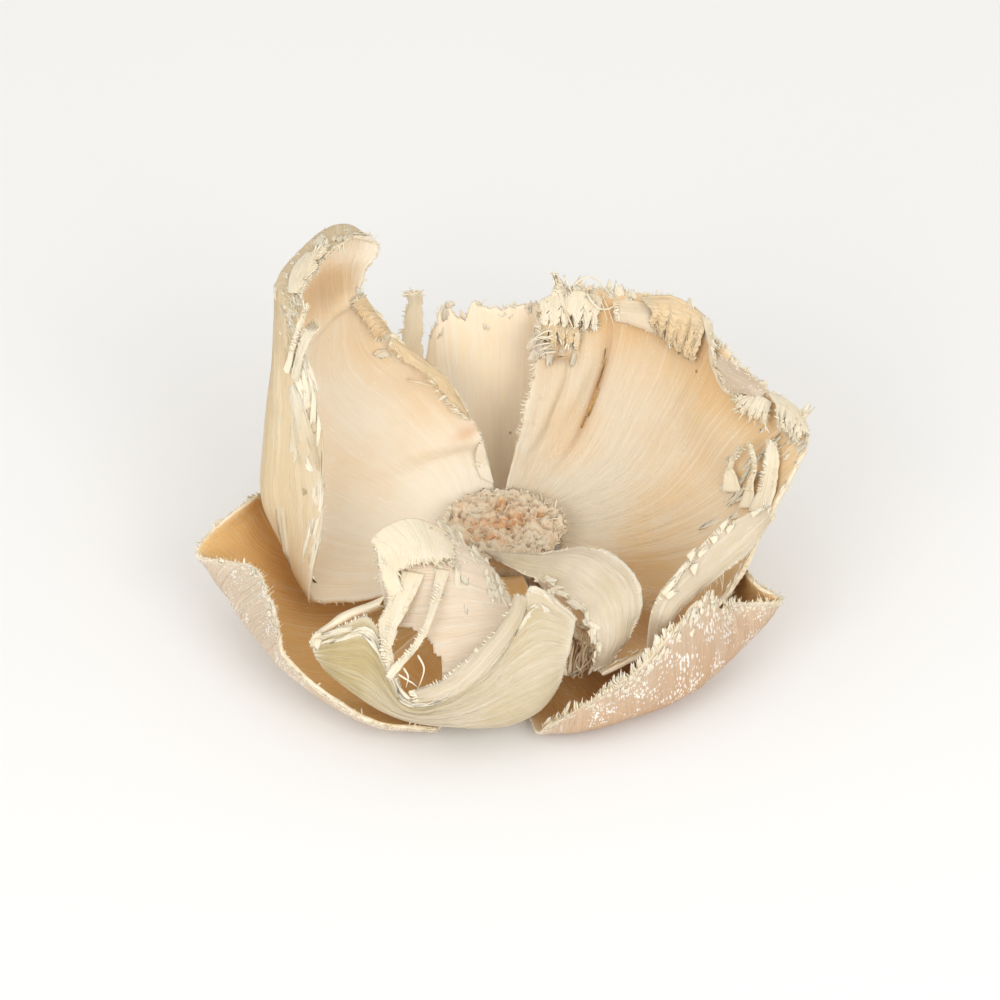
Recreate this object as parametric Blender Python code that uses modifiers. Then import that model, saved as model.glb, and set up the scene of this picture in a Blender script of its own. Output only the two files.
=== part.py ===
"""A palm cap: the dried, bleached flower cup that is left on the stalk when a palm fruit falls off.
Six thick leathery tepals stand in two rings round a woody receptacle, whose spongy scar is where the
fruit sat. The frame is +Z up in metres, with its origin on the resting face, right under the scar.
"""

import math
import random

import bmesh
import bpy
from mathutils import noise

MM = 0.001

# The receptacle: a woody plug with the stalk's flat break below and the fruit's scar on top.
SCAR_RADIUS = 9.6
SCAR_HEIGHT = 13.6
SCAR_RELIEF = 1.6
FOOT_RADIUS = 8.0
WALL_RADIUS = 8.8
NECK_RADIUS = 8.3
NECK_HEIGHT = 7.0
LUMP_SCALE = 0.32
LUMP_LAYER = 4.0
CRUMB_SCALE = 0.8
CRUMB_LAYER = 9.0
CRUMB_SHARE = 0.6
RING_MARGIN = 0.8

# The tepals' walls, the clearance that each keeps to the receptacle, and the heights of the two rings.
TEPAL_THICKNESS = 1.2
STRIP_THICKNESS = 0.9
SEAT_GAP = 0.35
OUTER_RING_HEIGHT = 4.0
INNER_RING_HEIGHT = 9.6

# How far in from a free edge its bites reach, as a power, and how deep the side margins' bites are beside
# those of the rim.
BITE_FALLOFF = 6
SIDE_BITE_SHARE = 0.5

# Dry plant leather and cork.
CREAM = (0.83, 0.72, 0.53)
PEACH = (0.82, 0.66, 0.47)
STRAW = (0.74, 0.63, 0.42)
CORK = (0.70, 0.53, 0.35)
LEATHER_ROUGHNESS = 0.75
CORK_ROUGHNESS = 0.9


def catmull_rom(a, b, c, d, t):
    """The point at t between b and c, on the smooth curve through all four."""
    curved = (2 * a - 5 * b + 4 * c - d) * t ** 2 + (3 * (b - c) + d - a) * t ** 3
    return (2 * b + (c - a) * t + curved) / 2


def along(points, t):
    """The point at t, from 0 to 1, on the smooth curve through a list of points."""
    spans = len(points) - 1
    k = min(int(t * spans), spans - 1)
    b, c = points[k], points[k + 1]
    a = points[k - 1] if k > 0 else tuple(2 * p - q for p, q in zip(b, c))
    d = points[k + 2] if k + 2 <= spans else tuple(2 * q - p for p, q in zip(b, c))
    return tuple(catmull_rom(*corner, t * spans - k) for corner in zip(a, b, c, d))


def collar(start, end, height, count):
    """Seat points of a tepal, from one angle to another in degrees, just clear of the receptacle."""
    radius = WALL_RADIUS + SEAT_GAP
    angles = [math.radians(start + (end - start) * i / (count - 1)) for i in range(count)]
    return [(radius * math.cos(a), radius * math.sin(a), height) for a in angles]


def material(name, colour, roughness):
    made = bpy.data.materials.new(name)
    made.use_nodes = True
    shader = made.node_tree.nodes["Principled BSDF"]
    shader.inputs["Base Color"].default_value = (*colour, 1)
    shader.inputs["Roughness"].default_value = roughness
    shader.inputs["Metallic"].default_value = 0
    return made


def new_object(name, mesh, colour, roughness, collection):
    mesh.materials.append(material(name, colour, roughness))
    made = bpy.data.objects.new(name, mesh)
    collection.objects.link(made)
    return made


def sheet(name, net, across, up, thickness, torn, seed, colour, collection):
    """A leathery sheet through the net's points, which run from one side margin to the other in each
    row and from the seat to the free edge row by row. torn is how far its free edge is bitten back."""
    bm = bmesh.new()
    bmesh.ops.create_grid(bm, x_segments=across, y_segments=up, size=0.5)
    draw = random.Random(seed)
    rim_bites = [torn * draw.random() for _ in range(across + 1)]
    side_bites = [SIDE_BITE_SHARE * torn * draw.random() for _ in range(up + 1)]
    for vert in bm.verts:
        s = min(max(vert.co.x + 0.5, 0), 1)
        t = min(max(vert.co.y + 0.5, 0), 1)
        rim_bite = rim_bites[round(s * across)]
        side_bite = side_bites[round(t * up)] * t
        s = 0.5 + (s - 0.5) * (1 - side_bite * abs(2 * s - 1) ** BITE_FALLOFF)
        t *= 1 - rim_bite * t ** BITE_FALLOFF
        row_points = [along(row, s) for row in net]
        vert.co = [MM * value for value in along(row_points, t)]
    mesh = bpy.data.meshes.new(name)
    bm.to_mesh(mesh)
    bm.free()
    mesh.shade_smooth()
    made = new_object(name, mesh, colour, LEATHER_ROUGHNESS, collection)
    made.modifiers.new("Even split", "TRIANGULATE")
    wall = made.modifiers.new("Wall", "SOLIDIFY")
    wall.thickness = thickness * MM
    wall.offset = 0
    return made


def fuse(made, strips):
    """Joins the torn strips, which are still one growth with their tepal, to it."""
    joined = made.modifiers.new("Fused strips", "BOOLEAN")
    joined.operation = "UNION"
    joined.operand_type = "COLLECTION"
    joined.collection = strips
    bpy.context.view_layer.update()
    graph = bpy.context.evaluated_depsgraph_get()
    mesh = bpy.data.meshes.new_from_object(made.evaluated_get(graph))
    made.modifiers.clear()
    made.data = mesh
    for strip in list(strips.objects):
        bpy.data.objects.remove(strip, do_unlink=True)
    bpy.data.collections.remove(strips)


def strips_of(name):
    """A collection for the strips of one tepal, which is gone once they are fused."""
    made = bpy.data.collections.new(name)
    bpy.context.scene.collection.children.link(made)
    return made


for old in list(bpy.data.objects):
    bpy.data.objects.remove(old, do_unlink=True)
cap = bpy.data.collections.new("palm cap")
bpy.context.scene.collection.children.link(cap)


def receptacle():
    """The woody plug: a turned block whose top is pitted like a sponge."""
    sectors = 44
    rings = 6
    side_cuts = 4
    tolerance = 0.1
    bm = bmesh.new()
    bmesh.ops.create_cone(
        bm, cap_ends=True, segments=sectors, radius1=FOOT_RADIUS * MM, radius2=SCAR_RADIUS * MM,
        depth=SCAR_HEIGHT * MM,
    )
    bmesh.ops.translate(bm, verts=bm.verts, vec=(0, 0, SCAR_HEIGHT * MM / 2))
    top_height = (SCAR_HEIGHT - tolerance) * MM
    top = [face for face in bm.faces if face.calc_center_median().z > top_height]
    for _ in range(rings):
        bmesh.ops.inset_region(bm, faces=top, thickness=SCAR_RADIUS * MM / (rings + RING_MARGIN))
    sides = [edge for edge in bm.edges if abs(edge.verts[0].co.z - edge.verts[1].co.z) > MM]
    bmesh.ops.subdivide_edges(bm, edges=sides, cuts=side_cuts)
    bmesh.ops.triangulate(bm, faces=bm.faces)
    for vert in bm.verts:
        x, y, z = (value / MM for value in vert.co)
        if z > SCAR_HEIGHT - tolerance:
            lumps = noise.noise((LUMP_SCALE * x, LUMP_SCALE * y, LUMP_LAYER))
            crumbs = noise.noise((CRUMB_SCALE * x, CRUMB_SCALE * y, CRUMB_LAYER))
            vert.co.z += SCAR_RELIEF * MM * (lumps + CRUMB_SHARE * crumbs)
        elif z > tolerance:
            wall = NECK_RADIUS if z > NECK_HEIGHT else WALL_RADIUS
            vert.co.x *= wall / math.hypot(x, y)
            vert.co.y *= wall / math.hypot(x, y)
    mesh = bpy.data.meshes.new("receptacle")
    bm.to_mesh(mesh)
    bm.free()
    mesh.shade_smooth()
    return new_object("receptacle", mesh, CORK, CORK_ROUGHNESS, cap)


def inner_left_tepal():
    """The tallest tepal. Its front margin rolls inwards, and its tip folds over into a hood."""
    net = [
        collar(98, 234, INNER_RING_HEIGHT, 6),
        [(-3, 14, 18), (-8, 13, 16), (-14, 8, 12), (-17, 0, 9.5), (-16, -6, 8.6), (-13, -10, 8.4)],
        [(-5, 15, 24), (-12, 15, 20), (-20, 11, 14.5), (-25, 2, 10), (-25, -7, 8), (-22, -12, 7.5)],
        [(-10, 19, 30.5), (-18, 18, 25), (-27, 12, 19), (-33, 3, 13.5), (-34, -7, 10.5), (-31, -14, 8)],
        [(-18, 20.5, 37.5), (-25, 20, 32), (-32.5, 14, 26), (-37.5, 4, 21), (-38.2, -6, 21),
         (-28.5, -6, 24.5)],
        [(-22, 23.5, 41.5), (-26, 22, 40), (-31.5, 17.5, 37), (-37.2, 8, 33.5), (-37.8, 0, 33),
         (-30, 1.5, 37.5)],
        [(-23.3, 23, 44.5), (-26.5, 21, 43.5), (-30, 18, 42), (-34.8, 13, 41.5), (-37, 7.5, 42),
         (-32.6, 7.5, 44.8)],
        [(-21.8, 27, 46), (-26.8, 28.5, 46), (-31, 25.5, 46.5), (-35, 19.5, 46), (-36.9, 12.5, 46),
         (-33.3, 8.5, 46.8)],
        [(-20.1, 29, 47.8), (-25.5, 29.5, 52), (-29.7, 26.5, 53.2), (-34, 22, 51.5), (-36.4, 17, 50),
         (-34.3, 10.5, 48.2)],
        [(-22, 30, 50.5), (-25.3, 25, 53.2), (-28.6, 20, 53.3), (-30.9, 16, 52.4), (-32.7, 12, 50.8),
         (-33.3, 9.5, 48.4)],
    ]
    return sheet("tepal_inner_left", net, 18, 30, TEPAL_THICKNESS, 0.05, 3, CREAM, cap)


def outer_back_tepal():
    """It stands behind the two inner ones and shows between them, with a torn strip beside it."""
    net = [
        collar(142, 38, OUTER_RING_HEIGHT, 8),
        [(-19, 12, 5), (-14, 14.5, 4.6), (-9, 16, 4.6), (-5, 17, 4.8), (0, 17.5, 5), (6, 16.8, 4.7),
         (12, 14.5, 4.6), (18, 12, 5)],
        [(-27, 19, 12), (-20, 21.5, 12.5), (-13, 23, 13.5), (-8, 23.8, 14.5), (0, 24, 15), (8, 23.5, 14),
         (16, 22, 12.5), (24, 19, 11)],
        [(-29, 24, 18), (-21, 26.5, 18.5), (-14, 27.5, 20), (-9.5, 28, 24), (0, 28, 26), (9, 28, 25),
         (18, 26.5, 20), (27, 24, 17)],
        [(-29, 26, 23), (-21, 28.5, 23), (-13.6, 29.5, 24.5), (-10.5, 31, 36.5), (0, 30.5, 37), (9, 30, 36),
         (18, 28.5, 28), (27, 26, 21)],
    ]
    made = sheet("tepal_outer_back", net, 20, 14, TEPAL_THICKNESS, 0.05, 5, PEACH, cap)
    strips = strips_of("outer back strip")
    torn = [
        [(-18.5, 27.2, 20), (-13.2, 27.6, 20)],
        [(-17.9, 30, 29), (-13.5, 30.2, 29)],
        [(-16.6, 31.2, 36), (-13.2, 31.2, 36)],
        [(-16.4, 29.5, 39.5), (-14.2, 29.8, 39.8)],
    ]
    sheet("torn strip", torn, 2, 8, STRIP_THICKNESS, 0, 4, PEACH, strips)
    fuse(made, strips)
    return made


def inner_right_tepal():
    """The widest tepal, a fan-shaped cup. Strips that tore loose from its front margin curl over it."""
    net = [
        collar(94, -62, INNER_RING_HEIGHT, 8),
        [(1, 12, 17), (7, 12, 15), (12.5, 9, 13), (16, 4, 11.5), (17, -2, 10.3), (17, -7.5, 9.3),
         (14, -12.5, 8.8),
         (8.5, -15, 8.4)],
        [(2.5, 15, 23), (11, 16, 20), (19, 12.5, 17), (24, 6, 14.5), (26, -1, 12), (26, -9, 9.3),
         (22, -17, 8),
         (11.5, -21.5, 7.4)],
        [(4, 18.5, 28), (14, 21, 26), (24, 18, 23.5), (30, 10, 20), (35, 0, 17), (33.5, -10, 11.5),
         (28, -20, 8.5),
         (13.5, -27, 7)],
        [(4.5, 24, 33), (16, 25, 33.5), (28, 22, 31), (35, 12, 28), (42, 1, 25), (38.5, -10, 16),
         (31, -21.5, 10),
         (14.5, -30, 7.4)],
        [(8, 31, 40), (17, 29, 41), (30, 24.5, 40.5), (39.5, 12, 36.5), (49.5, 1, 33), (43, -9, 22),
         (33.5, -22, 13),
         (15.5, -33, 8.5)],
    ]
    made = sheet("tepal_inner_right", net, 28, 22, TEPAL_THICKNESS, 0.04, 8, CREAM, cap)
    strips = strips_of("inner right strips")
    curl = [
        [(-4, -11.5, 17), (-2, -13, 17)],
        [(6, -14.5, 19.5), (2.5, -19, 18.5)],
        [(15.5, -18.5, 23.5), (6.5, -24, 19.5)],
        [(21.5, -25, 22), (12, -29, 18)],
        [(21.3, -28, 16), (14, -31.5, 13)],
        [(17, -30.2, 8.8), (13.5, -30.5, 7.4)],
    ]
    sheet("curled strip", curl, 4, 14, STRIP_THICKNESS, 0, 1, CREAM, strips)
    blade = [
        [(23, -27, 8.6), (26, -25.5, 9.2)],
        [(24.5, -27, 18.5), (27, -27, 17)],
        [(30.5, -21, 22.5), (32, -22, 19.5)],
        [(36, -16.5, 25), (37.5, -17.5, 22.5)],
        [(43, -12.5, 27.5), (43.5, -13, 26.5)],
    ]
    sheet("long blade", blade, 3, 12, STRIP_THICKNESS, 0, 2, CREAM, strips)
    finger = [
        [(37, -9.5, 14.5), (39.5, -10, 16.5)],
        [(37.2, -8.5, 24), (39.5, -8.5, 25)],
        [(38.8, -4.5, 33.5), (39.6, -4.5, 33.8)],
    ]
    sheet("narrow finger", finger, 2, 8, STRIP_THICKNESS, 0, 21, CREAM, strips)
    broad_finger = [
        [(40.5, -9.8, 17.5), (43.5, -9, 22)],
        [(41, -7.5, 26), (44.3, -6.5, 27.5)],
        [(42.3, -4, 32.5), (45.3, -3, 33.5)],
    ]
    sheet("broad finger", broad_finger, 3, 8, STRIP_THICKNESS, 0, 22, CREAM, strips)
    rolled_lip = [
        [(49, -1, 31), (49, 2, 32.5), (44, 7.5, 34)],
        [(48, -2, 34), (47.5, 3, 36), (43, 9, 37.5)],
        [(45, -2, 34.5), (44.5, 2, 36.5), (41, 8, 38)],
    ]
    sheet("rolled lip", rolled_lip, 5, 6, STRIP_THICKNESS, 0.05, 23, CREAM, strips)
    tuft = [
        [(5.5, 27.5, 35), (9.5, 29, 37)],
        [(4.5, 29, 38.5), (8.5, 30.2, 40)],
        [(6.5, 30.5, 42.3), (8, 31, 42.6)],
    ]
    sheet("top tuft", tuft, 3, 6, STRIP_THICKNESS, 0.1, 24, CREAM, strips)
    flap = [
        [(4, 19, 28.5), (11, 21, 30)],
        [(3, 18, 32), (10, 20, 33.5)],
        [(4, 18.5, 35.5), (8.5, 20, 37)],
    ]
    sheet("left flap", flap, 4, 6, STRIP_THICKNESS, 0.12, 25, CREAM, strips)
    fuse(made, strips)
    return made


def outer_left_tepal():
    """A low cup at the left, whose front margin is rolled in."""
    net = [
        collar(158, 252, OUTER_RING_HEIGHT, 8),
        [(-16, 6, 4), (-18, 1, 2.8), (-19, -5, 2), (-18, -10, 1.4), (-15.5, -13.5, 1.1), (-12, -17, 1),
         (-8.5, -19, 1), (-5, -20, 1.1)],
        [(-26, 8, 6.5), (-30, 1.5, 4.5), (-32, -7, 3.1), (-30.5, -14, 2.4), (-26.5, -20, 1.8),
         (-21.5, -25, 1.3),
         (-15, -28.5, 1.1), (-8.5, -30, 1.1)],
        [(-32, 9.5, 10), (-38, 2, 9.5), (-43, -8, 8.5), (-40.5, -15.5, 6.5), (-35.5, -22.5, 5),
         (-28.5, -29.5, 3.6),
         (-19, -35, 2.4), (-9.5, -36, 1.9)],
        [(-35, 10, 12.5), (-41, 2.5, 14.5), (-47.5, -9, 13), (-44.5, -16.5, 12), (-40.5, -22.5, 9.5),
         (-34, -30.5, 7), (-22, -38.5, 4.4), (-10.5, -39.5, 3)],
        [(-36, 10, 14), (-42, 0.5, 18.2), (-50, -10, 16), (-40, -16, 17.5), (-36.5, -24.5, 15),
         (-34, -33, 11.5),
         (-22, -39.5, 5.6), (-10.5, -40.5, 4)],
    ]
    return sheet("tepal_outer_left", net, 26, 14, TEPAL_THICKNESS, 0.05, 11, PEACH, cap)


def outer_right_tepal():
    """A low cup at the right, whose front margin is rolled in up to its hooked tip."""
    net = [
        collar(6, -86, OUTER_RING_HEIGHT, 8),
        [(17.5, 1, 3), (18, -4, 2), (17.5, -8, 1.6), (15.5, -11.5, 1.2), (13, -14, 1.1), (9.5, -17, 1),
         (6, -18.5, 1), (2, -19, 1)],
        [(28, 1, 6), (30, -8, 4.6), (29, -14, 3.4), (26, -19, 2.2), (21.5, -23.5, 1.6), (15.5, -27.5, 1.1),
         (9.5, -30, 1), (3, -31, 1)],
        [(33, 0, 8.5), (36, -11, 8), (37, -18.5, 7), (33.5, -23.5, 5.4), (27.5, -29, 3.8), (19.5, -33.5, 2.6),
         (12, -36, 2), (4, -36.5, 1.7)],
        [(35, -1, 10), (39, -14, 12), (42, -20.5, 11), (38, -24.5, 8.5), (31.5, -30.5, 6.2), (22.5, -36, 4.8),
         (13.5, -39, 3.4), (5, -39.5, 2.6)],
        [(35.5, -1, 11), (40, -17, 15.5), (44.5, -20, 14), (37, -22.8, 16), (32, -25.4, 20),
         (22, -35, 13.5), (14, -38, 8.6), (6, -40, 3.8)],
    ]
    return sheet("tepal_outer_right", net, 26, 14, TEPAL_THICKNESS, 0.06, 13, PEACH, cap)


def inner_front_tepal():
    """The torn front tepal. Its outer wall sweeps round as a strap, and its inner half leans over."""
    net = [
        collar(243, 289, INNER_RING_HEIGHT, 9),
        [(-12, -18, 7.6), (-9.5, -19.2, 6.8), (-7, -20.2, 6), (-4.5, -20.8, 5.4), (-2, -21, 5.1),
         (0.5, -21, 5), (2.8, -20.4, 5.2), (5, -19.5, 5.7), (7, -18.5, 6.4)],
        [(-21, -29, 8), (-17.5, -31.5, 6.6), (-13.5, -34, 5), (-9, -35.3, 4.6), (-4.5, -36, 4.3),
         (-1, -36, 4.3), (2, -35, 4.5), (5.3, -32.8, 5.3), (8, -30, 6.2)],
        [(-28, -33, 10.4), (-24.5, -36, 9.3), (-20, -39, 7.8), (-15, -41, 7), (-9.5, -41.8, 6.5),
         (-4, -42, 6.4), (1, -41.5, 7), (5.3, -39.8, 8.2), (8.5, -37, 9.8)],
        [(-30, -34, 13), (-26, -36.5, 13), (-21.5, -38.5, 12.2), (-16, -42.3, 9.6), (-10, -43.2, 9.9),
         (-4, -42.5, 12.2), (1.5, -40.3, 15.2), (6, -38.3, 16.6), (10, -36.5, 16)],
        [(-31, -33, 16.2), (-26, -31.5, 18.4), (-20.8, -31.5, 19.2), (-15.5, -42, 12), (-8.5, -42.5, 14.2),
         (-1.5, -38.5, 19), (2.5, -32.5, 24), (5.5, -30.5, 25.3), (11.6, -33, 21)],
    ]
    made = sheet("tepal_inner_front", net, 24, 20, TEPAL_THICKNESS, 0.04, 17, STRAW, cap)
    halves = strips_of("inner front half")
    leaning = [
        [(-15.5, -36, 5.6), (-10.5, -37, 5), (-5, -37.5, 4.8), (0, -37, 4.8)],
        [(-18, -39, 9), (-12, -40.5, 8.5), (-5, -41, 9), (1, -39.5, 10)],
        [(-19, -35.5, 14.5), (-12, -37, 14), (-5, -36.5, 15), (1.5, -34.5, 16.5)],
        [(-19.5, -27, 17.5), (-13, -28, 19), (-6, -28, 19.3), (1.5, -28.5, 18.5)],
        [(-20.5, -21.5, 21.5), (-14.5, -20, 23.5), (-7.5, -20, 22), (0, -22.5, 18.8)],
        [(-21, -18.5, 25), (-15.5, -14.5, 26), (-9.5, -14, 22.8), (-3, -17, 19.5)],
    ]
    sheet("leaning half", leaning, 10, 14, TEPAL_THICKNESS, 0.04, 19, CREAM, halves)
    fuse(made, halves)
    return made


receptacle()
outer_back_tepal()
outer_left_tepal()
outer_right_tepal()
inner_left_tepal()
inner_right_tepal()
inner_front_tepal()
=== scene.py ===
import math
import random

import bpy
import numpy as np
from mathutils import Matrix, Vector, noise


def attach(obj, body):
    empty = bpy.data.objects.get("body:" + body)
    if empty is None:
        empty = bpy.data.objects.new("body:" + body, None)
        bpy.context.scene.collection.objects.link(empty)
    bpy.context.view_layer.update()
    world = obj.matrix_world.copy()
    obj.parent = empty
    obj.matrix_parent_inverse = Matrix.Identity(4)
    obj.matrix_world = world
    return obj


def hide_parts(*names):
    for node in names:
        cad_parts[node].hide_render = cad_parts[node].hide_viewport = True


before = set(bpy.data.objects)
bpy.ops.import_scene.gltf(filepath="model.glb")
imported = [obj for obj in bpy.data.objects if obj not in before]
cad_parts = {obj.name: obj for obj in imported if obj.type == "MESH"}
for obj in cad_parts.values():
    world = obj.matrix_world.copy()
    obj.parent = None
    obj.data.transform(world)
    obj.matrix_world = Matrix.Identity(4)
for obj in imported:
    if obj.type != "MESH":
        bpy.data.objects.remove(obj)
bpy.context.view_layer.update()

MM = 0.001

# Receptacle. The woody plug that every tepal grew from: hard fibre at the wall, and a spongy, pitted
# scar on top where the fruit tore off. It is turned round, then roughened and pitted.
SCAR_RADIUS = 9.6
SCAR_HEIGHT = 13.6
SCAR_RELIEF = 1.6
FOOT_RADIUS = 8.0
WALL_RADIUS = 8.8
NECK_RADIUS = 8.3
NECK_HEIGHT = 7.0
SHOULDER_HEIGHT = 11.6
PIT_DEPTH = 2.6
SHARED_GLOSS = 0.25
SCAR_RINGS = 42
# x, y and half widths in mm
STAINS = (
    (-1.5, 0.3, 6.5, 1.5), (1.8, 1.6, 3.4, 1.3), (-0.4, 5.4, 1.6, 1.1), (5.6, 2.8, 1.5, 1.5), (-3, -3.6, 3.2, 0.9),
)


def own_material(name, roughness):
    """A new material, its node tree and its shader."""
    made = bpy.data.materials.new(name)
    made.use_nodes = True
    shader = made.node_tree.nodes["Principled BSDF"]
    shader.inputs["Roughness"].default_value = roughness
    shader.inputs["Specular IOR Level"].default_value = SHARED_GLOSS
    return made, made.node_tree, shader


def add_node(tree, kind, links=None, **values):
    """A node with its settings, and its inputs as constants or as links."""
    made = tree.nodes.new(kind)
    for key, value in values.items():
        setattr(made, key, value)
    for socket, source in (links or {}).items():
        if isinstance(source, bpy.types.NodeSocket):
            tree.links.new(source, made.inputs[socket])
        else:
            made.inputs[socket].default_value = source
    return made


def blended(tree, share, first, second):
    """The colour first turned into second by share."""
    made = tree.nodes.new("ShaderNodeMix")
    made.data_type = "RGBA"
    for index, source in ((0, share), (6, first), (7, second)):
        if isinstance(source, bpy.types.NodeSocket):
            tree.links.new(source, made.inputs[index])
        elif index == 0:
            made.inputs[index].default_value = source
        else:
            made.inputs[index].default_value = (*source, 1)
    return made.outputs[2]


def banded(tree, source, low, high, top=1.0):
    """0 where source is under low, top where it is over high."""
    links = {"Value": source, "From Min": low, "From Max": high, "To Max": top}
    return add_node(tree, "ShaderNodeMapRange", links).outputs[0]


def rough_noise(tree, vector, scale, detail=4.0, roughness=0.6):
    """Fractal noise at a vector socket."""
    links = {"Vector": vector, "Scale": scale, "Detail": detail, "Roughness": roughness}
    return add_node(tree, "ShaderNodeTexNoise", links).outputs[0]


def raised(tree, shader, height, distance, under=None):
    """Bump of a height socket on the shader, over the bump before it."""
    links = {"Height": height, "Distance": distance, "Strength": 1.0}
    if under:
        links["Normal"] = under
    made = add_node(tree, "ShaderNodeBump", links)
    tree.links.new(made.outputs[0], shader.inputs["Normal"])
    return made.outputs[0]


def fibre_attribute(tree, name):
    """A value that point_layer stored in the mesh."""
    return add_node(tree, "ShaderNodeAttribute", attribute_name=name)


def point_layer(mesh, name, values):
    """A value or a vector for each point of a mesh."""
    values = np.asarray(values, np.float32)
    if values.ndim == 1:
        mesh.attributes.new(name, "FLOAT", "POINT").data.foreach_set("value", values)
    else:
        mesh.attributes.new(name, "FLOAT_VECTOR", "POINT").data.foreach_set("vector", values.ravel())


def start_piece(name):
    """The object that bpy.ops has just added, under its own name."""
    made = bpy.context.object
    made.name = name
    made.data.name = name
    return made


def finish_piece(made, slot, *nodes):
    """Rides the piece on the one body and hides the solids that it stands for; slot is not used."""
    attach(made, "root")
    if nodes:
        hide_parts(*nodes)


def fresh():
    """Deselects all before the next operator."""
    bpy.ops.object.select_all(action="DESELECT")


def cork_material():
    """Pale sponge with orange stains, and painted shade in its pits and low spots."""
    made, tree, shader = own_material("scar sponge", 0.9)
    place = add_node(tree, "ShaderNodeTexCoord").outputs["Object"]
    blotches = rough_noise(tree, place, 300.0, 3.0)
    grain = rough_noise(tree, place, 2600.0, 5.0, 0.7)
    colour = blended(tree, banded(tree, blotches, 0.35, 0.68), (1.0, 0.86, 0.62), (1.0, 0.72, 0.44))
    colour = blended(tree, banded(tree, grain, 0.42, 0.7), colour, (1.0, 0.94, 0.82))
    colour = blended(tree, fibre_attribute(tree, "Stain").outputs["Fac"], colour, (0.88, 0.46, 0.20))
    # Painted shade: brown in the pits and low spots of the scar.
    colour = blended(tree, fibre_attribute(tree, "PaintedShade").outputs["Fac"], colour, (0.68, 0.44, 0.25))
    tree.links.new(colour, shader.inputs["Base Color"])
    raised(tree, shader, grain, 0.0004)
    return made


def scar_lumps(x, y):
    """Height of the scar's sponge in mm, over its mean."""
    return SCAR_RELIEF * (noise.noise((0.32 * x, 0.32 * y, 4.0)) + 0.6 * noise.noise((0.8 * x, 0.8 * y, 9.0)))


def scar_stain(x, y):
    """How orange the scar is at a place, from 0 to 1."""
    band = max(math.exp(-((x - a) / c) ** 2 - ((y - b) / d) ** 2) for a, b, c, d in STAINS)
    return min(1.0, max(0.0, band * (0.65 + 0.9 * noise.noise((0.9 * x, 1.6 * y, 2.0)))))


fresh()
bpy.ops.mesh.primitive_cone_add(
    vertices=170, radius1=FOOT_RADIUS * MM, radius2=SCAR_RADIUS * MM, depth=SCAR_HEIGHT * MM,
    end_fill_type="NGON", location=(0, 0, SCAR_HEIGHT * MM / 2),
)
receptacle = start_piece("receptacle_wood")
bpy.ops.object.transform_apply(location=True, rotation=True, scale=True)
bpy.ops.object.mode_set(mode="EDIT")
bpy.ops.mesh.select_mode(type="FACE")
bpy.ops.mesh.select_all(action="DESELECT")
bpy.ops.object.mode_set(mode="OBJECT")
for face in receptacle.data.polygons:
    face.select = face.center.z > 0.99 * SCAR_HEIGHT * MM
bpy.ops.object.mode_set(mode="EDIT")
for ring in range(SCAR_RINGS):
    bpy.ops.mesh.inset(thickness=SCAR_RADIUS * MM / (SCAR_RINGS + 0.6))
bpy.ops.mesh.poke()
bpy.ops.object.mode_set(mode="OBJECT")
for face in receptacle.data.polygons:
    face.select = 0.1 * MM < face.center.z < 0.99 * SCAR_HEIGHT * MM
bpy.ops.object.mode_set(mode="EDIT")
bpy.ops.mesh.subdivide(number_cuts=6)
bpy.ops.object.mode_set(mode="OBJECT")
stains, pit_shades = [], []
for vert in receptacle.data.vertices:
    x, y, z = (value / MM for value in vert.co)
    reach = math.hypot(x, y)
    stained = deep = 0.0
    if z > SCAR_HEIGHT - 0.1:
        crumbs = noise.noise((1.7 * x, 1.7 * y, 1.0)) + 0.7 * noise.noise((3.6 * x, 3.6 * y, 7.0))
        pits = max(0.0, noise.noise((1.15 * x, 1.35 * y, 30.0)) - 0.14)
        edge_in = min(1.0, max(0.0, (SCAR_RADIUS - reach) / 1.2))
        vert.co.z += MM * (scar_lumps(x, y) + 0.42 * crumbs - PIT_DEPTH * pits * edge_in)
        push = 0.12 * noise.noise((0.5 * x, 0.5 * y, 50.0)) + 0.05 * noise.noise((2.3 * x, 2.3 * y, 51.0))
        vert.co.x *= 1 + push * reach / SCAR_RADIUS
        vert.co.y *= 1 + push * reach / SCAR_RADIUS
        # Painted shade: darker where the sponge sinks into pits and between crumbs.
        deep = min(1.0, 2.4 * pits * edge_in + max(0.0, -0.5 * crumbs - 0.35))
        stained = scar_stain(x, y)
    elif z > 0.1:
        wall = NECK_RADIUS + (WALL_RADIUS - NECK_RADIUS) * min(1.0, max(0.0, NECK_HEIGHT + 1 - z))
        wall += 0.14 * noise.noise((2.4 * x, 2.4 * y, 0.3 * z))
        wall += (SCAR_RADIUS - wall) * min(1.0, max(0.0, (z - SHOULDER_HEIGHT) / 2.0)) ** 2
        vert.co.x *= wall / reach
        vert.co.y *= wall / reach
    stains.append(stained)
    pit_shades.append(deep)
point_layer(receptacle.data, "Stain", stains)
point_layer(receptacle.data, "PaintedShade", pit_shades)
receptacle.data.shade_smooth()
receptacle.data.materials.append(cork_material())
finish_piece(receptacle, "receptacle", "receptacle")


# Scar fibres. Curly torn bundle ends that cover the scar like a worn brush, and a broken, papery lip of
# them round its rim.
TIP_TAPER = 0.85
LOOSE_CURLS = 240
STAINED_CURLS = 70
LIP_FIBRES = 330


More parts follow.
